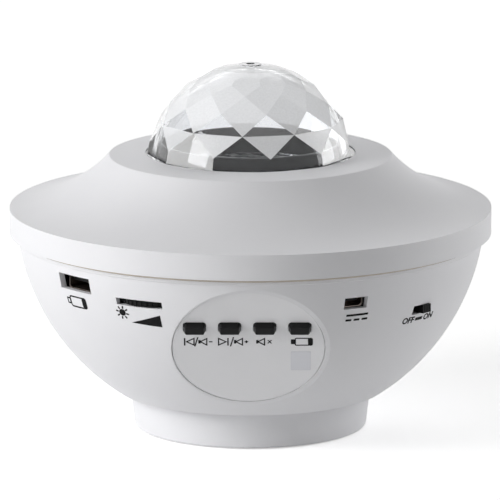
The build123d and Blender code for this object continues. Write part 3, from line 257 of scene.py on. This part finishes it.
# clear parts: dome and disc bend light less than the real plastics do, so that what is behind them
# shows in its place, and the dome's coat gives it the glints of the real one
dome = {
    "colour": "#f4f5f7", "ior": 1.1, "haze": 0.02, "coat": 1.0, "coatIor": 1.585, "coatHaze": 0.015,
    "paintedSheenFrom": 0.45, "paintedSheenFull": 0.46,  # how far up a facet looks where its painted milky sheen begins and is full
    "paintedSheenClear": 0.2, "sheenMottleMm": 0.7, "mottle": 0.03,
    # in metres: the inner face lies nearer to the centre than innerReach
    "centre": (0, 0, 0.0915), "innerReach": 0.0343,
}
disc = {"colour": "#f2f5f8", "ior": 1.3, "haze": 0.08, "flowMm": 5, "wave": 0.4, "waveMm": 1.2}
lens = {"colour": "#fafafa", "ior": 1.49, "haze": 0.01, "flowMm": 20, "wave": 0.02, "waveMm": 0.1}

finishes = {  # by their slots in the record
    # cool white ABS from a spark-eroded tool: a fine grain and a broad soft sheen
    "white_abs": grainedSkin("matteWhiteAbs", {**matte, "colour": "#eeeef0", "shade": "#e9e9ec"}),
    # ABS from a finer tool: smoother, with a closer sheen
    "panel_abs": grainedSkin("satinGreyAbs", {**satin, "colour": "#f3f3f5", "shade": "#eeeef0"}),
    # black ABS: nearly no light comes back but a faint satin sheen
    "black_abs": grainedSkin(
        "satinBlackAbs", {**satin, "specular": 0.12, "colour": "#0e0e0f", "shade": "#131415"}
    ),
    # moulded polycarbonate: glints beside facets made milky, a painted reflection of the light from overhead
    "clear_pc": facetedPolycarbonate("facetedPolycarbonate", dome),
    # acrylic pressed with waves: soft bent glints
    "ripple_acrylic": clearPlastic("rippledAcrylic", disc),
    # polished acrylic: small sharp glints
    "lens_acrylic": clearPlastic("lensAcrylic", lens),
    # rubber moulded in a rough tool: deep black with no sheen
    "black_rubber": grainedSkin("feltedBlackRubber", {**dull, "colour": "#1a1a1b", "shade": "#222223"}),
    # moulded acetal: waxy off-white
    "white_pom": grainedSkin("naturalAcetal", {**satin, "colour": "#e6e5df", "shade": "#dcdbd4"}),
    # epoxy moulded round a chip: flat dark grey
    "chip_black": grainedSkin("mouldedEpoxy", {**matte, "colour": "#17171a", "shade": "#1f1f22"}),
    # sleeve shrunk on a can: smooth blue black
    "capacitor_sleeve": grainedSkin("shrunkSleeve", {**glossy, "colour": "#12141c", "shade": "#1a1d28"}),
    # silicone with phosphor in it: a soft yellow
    "led_phosphor": grainedSkin("phosphorSilicone", {**satin, "colour": "#e4cd55", "shade": "#d8c046"}),
    # lacquer cured on a board: glossy deep green
    "board_green": grainedSkin("greenSolderMask", {**glossy, "colour": "#0f4726", "shade": "#165a31"}),
    # paper pulp pressed and dyed: fibrous and dull
    "cone_paper": grainedSkin("pressedPaper", {**dull, "colour": "#1e1e1f", "shade": "#2a2a2b"}),
    # powder pressed and fired: a dry dark grey
    "ferrite": grainedSkin("sinteredFerrite", {**dull, "colour": "#2a2a2c", "shade": "#353537"}),
    # foam with closed cells: a dull mottled black
    "foam": grainedSkin("closedCellFoam", {**dull, "colour": "#202021", "shade": "#2c2c2d"}),
    # steel plated with zinc: a grey with fine lines, tinted warm as a painted reflection of warm light
    "zinc_steel": workedMetal("zincPlatedSteel", {**rolled, "colour": "#b8aea6", "shade": "#998e86"}),
    # steel drawn to a can: a darker grey with lines along it
    "motor_steel": workedMetal("drawnSteelCan", {**rolled, "colour": "#a9aaac", "shade": "#929395"}),
    # brass turned on a lathe: yellow with fine lines
    "brass": workedMetal("turnedBrass", {**rolled, "colour": "#c9a65a", "shade": "#ae8d47"}),
    # aluminium pushed through a die: pale with long lines
    "aluminium": workedMetal("extrudedAluminium", {**rolled, "colour": "#c6c8cb", "shade": "#b1b3b6"}),
    # copper wire under clear enamel: red brown
    "copper_wire": workedMetal("enamelledCopper", {**rolled, "colour": "#b4682f", "shade": "#975122"}),
    # gold plated on contacts: a clean yellow
    "gold_plate": workedMetal("goldPlate", {**rolled, "colour": "#dab65c", "shade": "#c49d49"}),
    # warm beige bead standing in for the seam's gap: painted shade, tinted warm like the light that bleeds
    # through the shell, drawn as solid
    "glue": grainedSkin("paintedSeamShade", {**glossy, "colour": "#cdc3b6", "shade": "#c2b6a7"}),
    # thin frosted film: a touch cooler and smoother than the panel under it
    "film": grainedSkin("frostedWindowFilm", {**glossy, "colour": "#e6e7ec", "shade": "#e0e1e7"}),
    # ink laid on by a pad: flat black
    "ink": grainedSkin("padPrintedInk", {**matte, "specular": 0.1, "colour": "#0c0c0d", "shade": "#121213"}),
}
for row in frame["record"]["subparts"]:
    mesh = frame["nodes"][row["node"]].data
    mesh.materials.clear()
    mesh.materials.append(finishes[row["material_slot"]])
print("finishes made:", len(finishes))


def selectOnly(piece):
    bpy.ops.object.select_all(action="DESELECT")
    piece.select_set(True)
    bpy.context.view_layer.objects.active = piece


# rippled face of the turning disc: flat under, with waves on top; lengths in millimetres
ripples = {
    "rim": 29, "hole": 4.68, "top": 92.1, "thick": 1.7, "rings": 20, "spokes": 144,
    "flatEdge": 0.5, "wave": 4, "deep": 0.9, "smoothBelow": 50,
}
bpy.ops.object.select_all(action="DESELECT")
bpy.ops.mesh.primitive_circle_add(
    vertices=ripples["spokes"],
    radius=ripples["rim"] * mm,
    fill_type="NGON",
    location=(0, 0, ripples["top"] * mm),
)
rippledFace = bpy.context.object
rippledFace.name = rippledFace.data.name = "rippledFace"
bpy.ops.object.transform_apply(location=True, rotation=False, scale=False)
bpy.ops.object.mode_set(mode="EDIT")
bpy.ops.mesh.select_all(action="SELECT")
for ring in range(ripples["rings"]):
    bpy.ops.mesh.inset(thickness=(ripples["rim"] - ripples["hole"]) * mm / ripples["rings"], depth=0)
bpy.ops.mesh.delete(type="FACE")
bpy.ops.mesh.select_all(action="SELECT")
bpy.ops.mesh.extrude_region_move(TRANSFORM_OT_translate={"value": (0, 0, -ripples["thick"] * mm)})
bpy.ops.mesh.select_all(action="SELECT")
bpy.ops.mesh.normals_make_consistent(inside=False)
bpy.ops.object.mode_set(mode="OBJECT")
waves = rippledFace.vertex_groups.new(name="waves")
waveLow = (ripples["top"] - ripples["flatEdge"]) * mm
waveStart = (ripples["hole"] + ripples["flatEdge"]) * mm
waveEnd = (ripples["rim"] - ripples["flatEdge"]) * mm
for corner in rippledFace.data.vertices:
    if corner.co.z > waveLow and waveStart < math.hypot(corner.co.x, corner.co.y) < waveEnd:
        waves.add([corner.index], 1.0, "REPLACE")
water = bpy.data.textures.new("water", "CLOUDS")
water.noise_scale = ripples["wave"] * mm
swell = rippledFace.modifiers.new("swell", "DISPLACE")
swell.texture = water
swell.vertex_group = "waves"
swell.direction = "Z"
swell.mid_level = 1.0  # the waves go down only
swell.strength = ripples["deep"] * mm
selectOnly(rippledFace)
bpy.ops.object.modifier_apply(modifier="swell")
bpy.ops.object.shade_smooth_by_angle(angle=math.radians(ripples["smoothBelow"]))
rippledFace.data.materials.append(finishes["ripple_acrylic"])
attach(rippledFace, "ripple_rotor")
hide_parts("ripple_disc")
print("rippled disc made")


# thin warm bead in the joint between the shells, where the seam's gap lies in shade: painted shade; lengths
# in millimetres
glue = {
    "reach": 81.12, "bead": 0.4, "height": 68.08, "around": 240, "sides": 10,
    "lump": 7, "uneven": 0.12,
}
bpy.ops.object.select_all(action="DESELECT")
bpy.ops.mesh.primitive_torus_add(
    major_radius=glue["reach"] * mm,
    minor_radius=glue["bead"] * mm,
    major_segments=glue["around"],
    minor_segments=glue["sides"],
    location=(0, 0, glue["height"] * mm),
)
seamShadeBead = bpy.context.object
seamShadeBead.name = seamShadeBead.data.name = "seamShadeBead"
bpy.ops.object.transform_apply(location=True, rotation=False, scale=False)
lumps = bpy.data.textures.new("lumps", "CLOUDS")
lumps.noise_scale = glue["lump"] * mm
flow = seamShadeBead.modifiers.new("flow", "DISPLACE")
flow.texture = lumps
flow.strength = glue["uneven"] * mm
bpy.ops.object.modifier_apply(modifier="flow")
bpy.ops.object.shade_smooth()
seamShadeBead.data.materials.append(finishes["glue"])
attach(seamShadeBead, "housing")
print("glue line laid")


# printed marks: flat shapes drawn at their real size, wrapped on what carries them, then given the
# ink's thickness; lengths in millimetres
ink = {"thick": 0.08, "strip": 1.2, "clear": 3.0, "finish": "ink", "slot": "black_abs"}
film = {**ink, "finish": "film", "slot": "panel_abs"}
bowl = {"reach": 3.8227, "height": 78.572, "radius": 77.9}  # arc of the bowl's wall
panel = {"place": (-0.7, -67.367, 42.033), "tilt": 29.9}


def keepOutline(piece, line):  # a flat face becomes an outline of that width
    selectOnly(piece)
    bpy.ops.object.mode_set(mode="EDIT")
    bpy.ops.mesh.select_all(action="SELECT")
    bpy.ops.mesh.inset(thickness=line * mm, depth=0)
    bpy.ops.mesh.delete(type="FACE")
    bpy.ops.object.mode_set(mode="OBJECT")


def drawBar(left, low, right, high, rounded=0.0, line=0.0, lean=0.0):  # lean shifts its upper edge
    middle = ((left + right) / 2 * mm, (low + high) / 2 * mm, 0)
    bpy.ops.object.select_all(action="DESELECT")
    bpy.ops.mesh.primitive_plane_add(size=1)
    bar = bpy.context.object
    bar.scale = ((right - left) * mm, (high - low) * mm, 1)
    bar.location = middle
    bpy.ops.object.transform_apply(location=True, rotation=False, scale=True)
    for corner in bar.data.vertices:
        if corner.co.y > middle[1]:
            corner.co.x += lean * mm
    if rounded:
        bpy.ops.object.mode_set(mode="EDIT")
        bpy.ops.mesh.select_all(action="SELECT")
        bpy.ops.mesh.bevel(offset=rounded * mm, segments=4, affect="VERTICES")
        bpy.ops.object.mode_set(mode="OBJECT")
    if line:
        keepOutline(bar, line)
    return bar


def drawPolygon(x, y, radius, sides, turn=0.0, squash=1.0, line=0.0):
    bpy.ops.object.select_all(action="DESELECT")
    bpy.ops.mesh.primitive_circle_add(vertices=sides, radius=radius * mm, fill_type="NGON")
    polygon = bpy.context.object
    polygon.rotation_euler = (0, 0, math.radians(turn))
    bpy.ops.object.transform_apply(location=False, rotation=True, scale=False)
    polygon.scale = (squash, 1, 1)
    polygon.location = (x * mm, y * mm, 0)
    bpy.ops.object.transform_apply(location=True, rotation=False, scale=True)
    if line:
        keepOutline(polygon, line)
    return polygon


def drawRay(x, y, inner, outer, width, turn):  # one ray of the sun, turned about the sun's middle
    ray = drawBar(x + inner, y - width / 2, x + outer, y + width / 2, width / 3)
    bpy.ops.object.mode_set(mode="EDIT")
    bpy.ops.mesh.select_all(action="SELECT")
    bpy.ops.transform.rotate(
        value=math.radians(turn), orient_axis="Z", center_override=(x * mm, y * mm, 0)
    )
    bpy.ops.object.mode_set(mode="OBJECT")
    return ray


def drawWord(word, left, low, size, bolder):  # bolder is what the strokes gain, as a share of the size
    bpy.ops.object.select_all(action="DESELECT")
    bpy.ops.object.text_add()
    text = bpy.context.object.data
    text.body = word
    text.size = size * mm
    text.offset = size * mm * bolder
    text.resolution_u = 4
    bpy.ops.object.convert(target="MESH")
    letters = bpy.context.object
    letters.location = (left * mm, low * mm, 0)
    bpy.ops.object.transform_apply(location=True, rotation=False, scale=False)
    return letters


def layMark(name, node, place, turn, shapes, look=ink):  # place is in millimetres
    selectOnly(shapes[0])
    for shape in shapes[1:]:
        shape.select_set(True)
    if len(shapes) > 1:
        bpy.ops.object.join()
    mark = bpy.context.object
    mark.name = mark.data.name = name
    corners = [corner.co.copy() for corner in mark.data.vertices]
    bpy.ops.object.mode_set(mode="EDIT")
    for axis in (0, 1):  # narrow strips let it bend with what is under it
        low = min(corner[axis] for corner in corners)
        high = max(corner[axis] for corner in corners)
        for step in range(1, int((high - low) / mm / look["strip"]) + 1):
            cut = [0, 0, 0]
            cut[axis] = low + step * look["strip"] * mm
            bpy.ops.mesh.select_all(action="SELECT")
            bpy.ops.mesh.bisect(plane_co=cut, plane_no=(1 - axis, axis, 0))
    bpy.ops.object.mode_set(mode="OBJECT")
    mark.rotation_euler = turn
    outward = mark.rotation_euler.to_matrix().col[2]
    mark.location = (Vector(place) + outward * look["clear"]) * mm
    wrap = mark.modifiers.new("wrap", "SHRINKWRAP")
    wrap.target = frame["nodes"][node]
    wrap.wrap_method = "PROJECT"
    wrap.use_project_z = True
    wrap.use_positive_direction = False
    wrap.use_negative_direction = True
    bpy.ops.object.modifier_apply(modifier="wrap")
    body = mark.modifiers.new("body", "SOLIDIFY")
    body.thickness = look["thick"] * mm
    body.offset = 0.5  # most of it stands outside the wall, and a part is sunk in
    bpy.ops.object.modifier_apply(modifier="body")
    bpy.ops.object.transform_apply(location=True, rotation=True, scale=False)
    mark.data.materials.clear()
    mark.data.materials.append(finishes[look["finish"]])
    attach(mark, "housing")


def layOnBowl(name, azimuth, height, shapes):  # the mark's middle comes there on the bowl's wall
    lean = math.asin((height - bowl["height"]) / bowl["radius"])
    reach = bowl["reach"] + bowl["radius"] * math.cos(lean)
    side = math.radians(azimuth)
    place = (reach * math.sin(side), -reach * math.cos(side), height)
    layMark(name, "lower_bowl", place, (math.pi / 2 - lean, 0, side), shapes)


def layOnPanel(name, shapes, look=ink):  # drawn from the panel's middle
    turn = (math.pi / 2 + math.radians(panel["tilt"]), 0, 0)
    layMark(name, "control_panel", panel["place"], turn, shapes, look)


# memory stick under its socket; a shape's corners are left, low, right and high
stick = {
    "azimuth": -49.6, "height": 54.3,
    "plug": (-5.1, -1.2, -3.2, 1.2), "plugRounded": 0.2, "plugLine": 0.5,
    "body": (-3.5, -2.2, 4.4, 2.2), "bodyRounded": 1.0, "bodyLine": 0.55,
    "end": (2.9, -2.2, 5.1, 2.2), "endRounded": 1.05,
}
layOnBowl("stickMark", stick["azimuth"], stick["height"], [
    drawBar(*stick["plug"], stick["plugRounded"], stick["plugLine"]),
    drawBar(*stick["body"], stick["bodyRounded"], stick["bodyLine"]),
    drawBar(*stick["end"], stick["endRounded"]),
])

# sun and wedge under the dimmer
dimmer = {"azimuth": -28.8, "height": 52.5, "wedge": ((-3.96, -2.24), (7.65, -2.96), (7.58, 1.67))}
sun = {
    "x": -7.1, "y": 1.2, "core": 1.3, "coreSides": 24,
    "rays": 8, "inner": 1.5, "outer": 2.6, "width": 0.55, "turn": 10,
}
sunShapes = [drawPolygon(sun["x"], sun["y"], sun["core"], sun["coreSides"])]
for ray in range(sun["rays"]):
    turn = ray * 360 / sun["rays"] + sun["turn"]
    sunShapes.append(drawRay(sun["x"], sun["y"], sun["inner"], sun["outer"], sun["width"], turn))
wedge = drawPolygon(0, 0, 1, 3)
for corner, spot in zip(wedge.data.vertices, dimmer["wedge"]):
    corner.co = (spot[0] * mm, spot[1] * mm, 0)
layOnBowl("dimmerMarks", dimmer["azimuth"], dimmer["height"], [wedge, *sunShapes])

# direct current sign under the power inlet
current = {
    "azimuth": 27.8, "height": 53.0, "line": (-4.2, 0.55, 4.2, 1.35), "rounded": 0.1,
    "dashes": (-4.2, -1.1, 2.0), "dashLong": 2.2, "dashLow": -1.35, "dashHigh": -0.55,
}
currentShapes = [drawBar(*current["line"], current["rounded"])]
for left in current["dashes"]:
    right = left + current["dashLong"]
    currentShapes.append(drawBar(left, current["dashLow"], right, current["dashHigh"], current["rounded"]))
layOnBowl("currentMark", current["azimuth"], current["height"], currentShapes)

# words and bar under the power switch
switch = {
    "azimuth": 49.6, "height": 48.3, "offLeft": -8.4, "onLeft": 2.5, "low": -1.1,
    "size": 3.3, "bolder": 1 / 32, "bar": (-2.0, -0.6, 1.7, 0.6), "rounded": 0.1,
}
layOnBowl("switchMarks", switch["azimuth"], switch["height"], [
    drawWord("OFF", switch["offLeft"], switch["low"], switch["size"], switch["bolder"]),
    drawBar(*switch["bar"], switch["rounded"]),
    drawWord("ON", switch["onLeft"], switch["low"], switch["size"], switch["bolder"]),
])

# signs under the four keys: first what they share, then where each one's shapes stand, strokes and
# loudspeakers by their left ends and arrows by their middles
signs = {
    "height": 2.7, "line": 0.42,  # of their middle line over the panel's, and of an outline
    # width, reach up and down, and lean of each stroke
    "bar": (0.5, 1.7), "slash": (0.45, 2.1, 1.0), "dash": (1.2, 0.22), "upright": (0.44, 0.6),
    "arrow": 2.2, "arrowSquash": 0.95,
    "boxLong": 0.78, "boxReach": 0.78, "hornOut": 2.145, "horn": 2.184, "hornSquash": 0.85,
}


def drawStroke(left, width, reach, lean=0.0, rounded=0.0, line=0.0):  # as far up as down
    low = signs["height"] - reach
    high = signs["height"] + reach
    return drawBar(left, low, left + width, high, rounded, line, lean)


def drawArrow(x, turn):  # turned by 90 it points left, and by -90 right
    return drawPolygon(x, signs["height"], signs["arrow"], 3, turn, signs["arrowSquash"], signs["line"])


def drawSpeaker(left):  # box and horn of the usual loudspeaker sign
    hornAt = left + signs["hornOut"]
    return [
        drawStroke(left, signs["boxLong"], signs["boxReach"]),
        drawPolygon(hornAt, signs["height"], signs["horn"], 3, 90, signs["hornSquash"], signs["line"]),
    ]


previous = {"bar": -21.9, "arrow": -19.3, "slash": -18.4, "speaker": -17.0, "dash": -13.4}
layOnPanel("previousSign", [
    drawStroke(previous["bar"], *signs["bar"]),
    drawArrow(previous["arrow"], 90),
    drawStroke(previous["slash"], *signs["slash"]),
    *drawSpeaker(previous["speaker"]),
    drawStroke(previous["dash"], *signs["dash"]),
])
following = {"arrow": -9.3, "bar": -7.2, "slash": -6.3, "speaker": -4.9, "dash": -1.3, "upright": -0.92}
layOnPanel("nextSign", [
    drawArrow(following["arrow"], -90),
    drawStroke(following["bar"], *signs["bar"]),
    drawStroke(following["slash"], *signs["slash"]),
    *drawSpeaker(following["speaker"]),
    drawStroke(following["dash"], *signs["dash"]),
    drawStroke(following["upright"], *signs["upright"]),
])
mute = {"speaker": 2.6, "rising": (6.4, 0.45, 0.75, 1.2), "falling": (7.6, 0.45, 0.75, -1.2)}
layOnPanel("muteSign", [
    *drawSpeaker(mute["speaker"]),
    drawStroke(*mute["rising"]),
    drawStroke(*mute["falling"]),
])
mode = {
    "plug": (14.4, 1.5, 1.1), "plugRounded": 0.2,
    "body": (15.7, 5.2, 1.8), "bodyRounded": 0.6,
    "end": (20.2, 1.7, 1.8), "endRounded": 0.8,
}
layOnPanel("modeSign", [
    drawStroke(*mode["plug"], rounded=mode["plugRounded"]),
    drawStroke(*mode["body"], rounded=mode["bodyRounded"], line=signs["line"]),
    drawStroke(*mode["end"], rounded=mode["endRounded"]),
])

# thin film over the remote's receiver
window = {"corners": (14.4, -10.4, 21.2, -1.7), "rounded": 0.4}
layOnPanel("receiverFilm", [drawBar(*window["corners"], window["rounded"])], film)
print("marks printed")


# camera, lamps and room; lengths in metres
camera = {"place": (0, -2.438, 0.577), "aim": (-0.00017, 0, 0.0618), "lens": 515.2}
cameraData = bpy.data.cameras.new("camera")
cameraData.lens = camera["lens"]
cameraObject = bpy.data.objects.new("camera", cameraData)
cameraObject.location = camera["place"]
gaze = Vector(camera["aim"]) - cameraObject.location
cameraObject.rotation_euler = gaze.to_track_quat("-Z", "Y").to_euler()
bpy.context.collection.objects.link(cameraObject)
bpy.context.scene.camera = cameraObject

lampAim = (0, 0, 0.06)
lamps = {  # soft boxes; the one behind isn't mirrored, because it would glare on the top of the dome
    "leftBox": {"place": (-0.92, -0.4, 0.47), "size": 0.6, "power": 8.7, "mirrored": True},
    "overBox": {"place": (-0.2, -1.0, 1.25), "size": 1.1, "power": 0.4, "mirrored": True},
    "rightBox": {"place": (1.5, 0.4, 0.5), "size": 0.9, "power": 10.0, "mirrored": True},
    "backBox": {"place": (-0.1, 1.5, 0.85), "size": 1.0, "power": 6.0, "mirrored": False},
}
for name, lamp in lamps.items():
    lampData = bpy.data.lights.new(name, "AREA")
    lampData.size = lamp["size"]
    lampData.energy = lamp["power"]
    lampObject = bpy.data.objects.new(name, lampData)
    lampObject.location = lamp["place"]
    beam = Vector(lampAim) - lampObject.location
    lampObject.rotation_euler = beam.to_track_quat("-Z", "Y").to_euler()
    lampObject.visible_glossy = lamp["mirrored"]
    bpy.context.collection.objects.link(lampObject)

# the world lights softly, is plain white where it is seen or looked at through plastic, and is
# mirrored as a bright ceiling and a white backdrop round a dim room
worldLook = {
    "light": 0.15, "seen": 1.0, "room": 0.15, "ceiling": 2.0, "backdrop": 1.0,
    "ceilingEdge": (0.5, 0.66), "backdropEdge": (0.1, 0.5),  # heights and depths of the heading
}
world = bpy.data.worlds.new("studio")
world.use_nodes = True
bpy.context.scene.world = world
studio = world.node_tree
studio.nodes.clear()
rays = addNode(studio, "ShaderNodeLightPath")
heading = addNode(
    studio,
    "ShaderNodeSeparateXYZ",
    None,
    {0: addNode(studio, "ShaderNodeTexCoord").outputs["Generated"]},
)
ceiling = addNode(
    studio,
    "ShaderNodeMapRange",
    {
        "From Min": worldLook["ceilingEdge"][0],
        "From Max": worldLook["ceilingEdge"][1],
        "To Min": worldLook["room"],
        "To Max": worldLook["ceiling"],
    },
    {"Value": heading.outputs["Z"]},
)
backdrop = addNode(
    studio,
    "ShaderNodeMapRange",
    {
        "From Min": worldLook["backdropEdge"][0],
        "From Max": worldLook["backdropEdge"][1],
        "To Min": 0.0,
        "To Max": worldLook["backdrop"],
    },
    {"Value": heading.outputs["Y"]},
)
around = addNode(
    studio, "ShaderNodeMath", {"operation": "MAXIMUM"}, {0: ceiling.outputs[0], 1: backdrop.outputs[0]}
)
mirrored = addNode(
    studio,
    "ShaderNodeMix",
    {"A": worldLook["light"]},
    {"Factor": rays.outputs["Is Glossy Ray"], "B": around.outputs[0]},
)
looked = addNode(
    studio,
    "ShaderNodeMath",
    {"operation": "MAXIMUM"},
    {0: rays.outputs["Is Camera Ray"], 1: rays.outputs["Is Transmission Ray"]},
)
level = addNode(
    studio,
    "ShaderNodeMix",
    {"B": worldLook["seen"]},
    {"Factor": looked.outputs[0], "A": mirrored.outputs[0]},
)
sky = addNode(
    studio, "ShaderNodeBackground", {"Color": linear("#ffffff")}, {"Strength": level.outputs[0]}
)
addNode(studio, "ShaderNodeOutputWorld", None, {"Surface": sky.outputs[0]})

# floor of rolled paper, a soft white with no gloss: it also glows where it is looked at or mirrored,
# so that it joins the white world, less the shadow that the object lays on it
floorLook = {
    "size": 5, "paper": "#f4f4f4", "shade": "#f1f1f1", "cloudMm": 160,
    "rough": 0.95, "specular": 0.05, "glow": 0.5,
}
bpy.ops.object.select_all(action="DESELECT")
bpy.ops.mesh.primitive_plane_add(size=floorLook["size"])
floor = bpy.context.object
floor.name = "paperFloor"
paper, paperTree, paperShader, paperPlace = startMaterial(
    "whitePaper",
    {
        "Roughness": floorLook["rough"],
        "Specular IOR Level": floorLook["specular"],
        "Emission Color": linear("#ffffff"),
    },
)
fibre = addNode(
    paperTree, "ShaderNodeTexNoise", {"Scale": 1 / (floorLook["cloudMm"] * mm)}, {"Vector": paperPlace}
)
paperTone = addNode(
    paperTree,
    "ShaderNodeMix",
    {
        "data_type": "RGBA",
        mixColours[0]: linear(floorLook["paper"]),
        mixColours[1]: linear(floorLook["shade"]),
    },
    {"Factor": fibre.outputs[0]},
)
paperRays = addNode(paperTree, "ShaderNodeLightPath")
paperLooked = addNode(
    paperTree,
    "ShaderNodeMath",
    {"operation": "MAXIMUM"},
    {0: paperRays.outputs["Is Camera Ray"], 1: paperRays.outputs["Is Transmission Ray"]},
)
paperShown = addNode(
    paperTree,
    "ShaderNodeMath",
    {"operation": "MAXIMUM"},
    {0: paperLooked.outputs[0], 1: paperRays.outputs["Is Glossy Ray"]},
)
paperGlow = addNode(
    paperTree,
    "ShaderNodeMapRange",
    {"To Min": 0.0, "To Max": floorLook["glow"]},
    {"Value": paperShown.outputs[0]},
)
paperTree.links.new(paperTone.outputs[2], paperShader.inputs["Base Color"])
paperTree.links.new(paperGlow.outputs[0], paperShader.inputs["Emission Strength"])
floor.data.materials.append(paper)
print("camera, lamps and floor stand")

bpy.context.scene.view_settings.view_transform = "Standard"
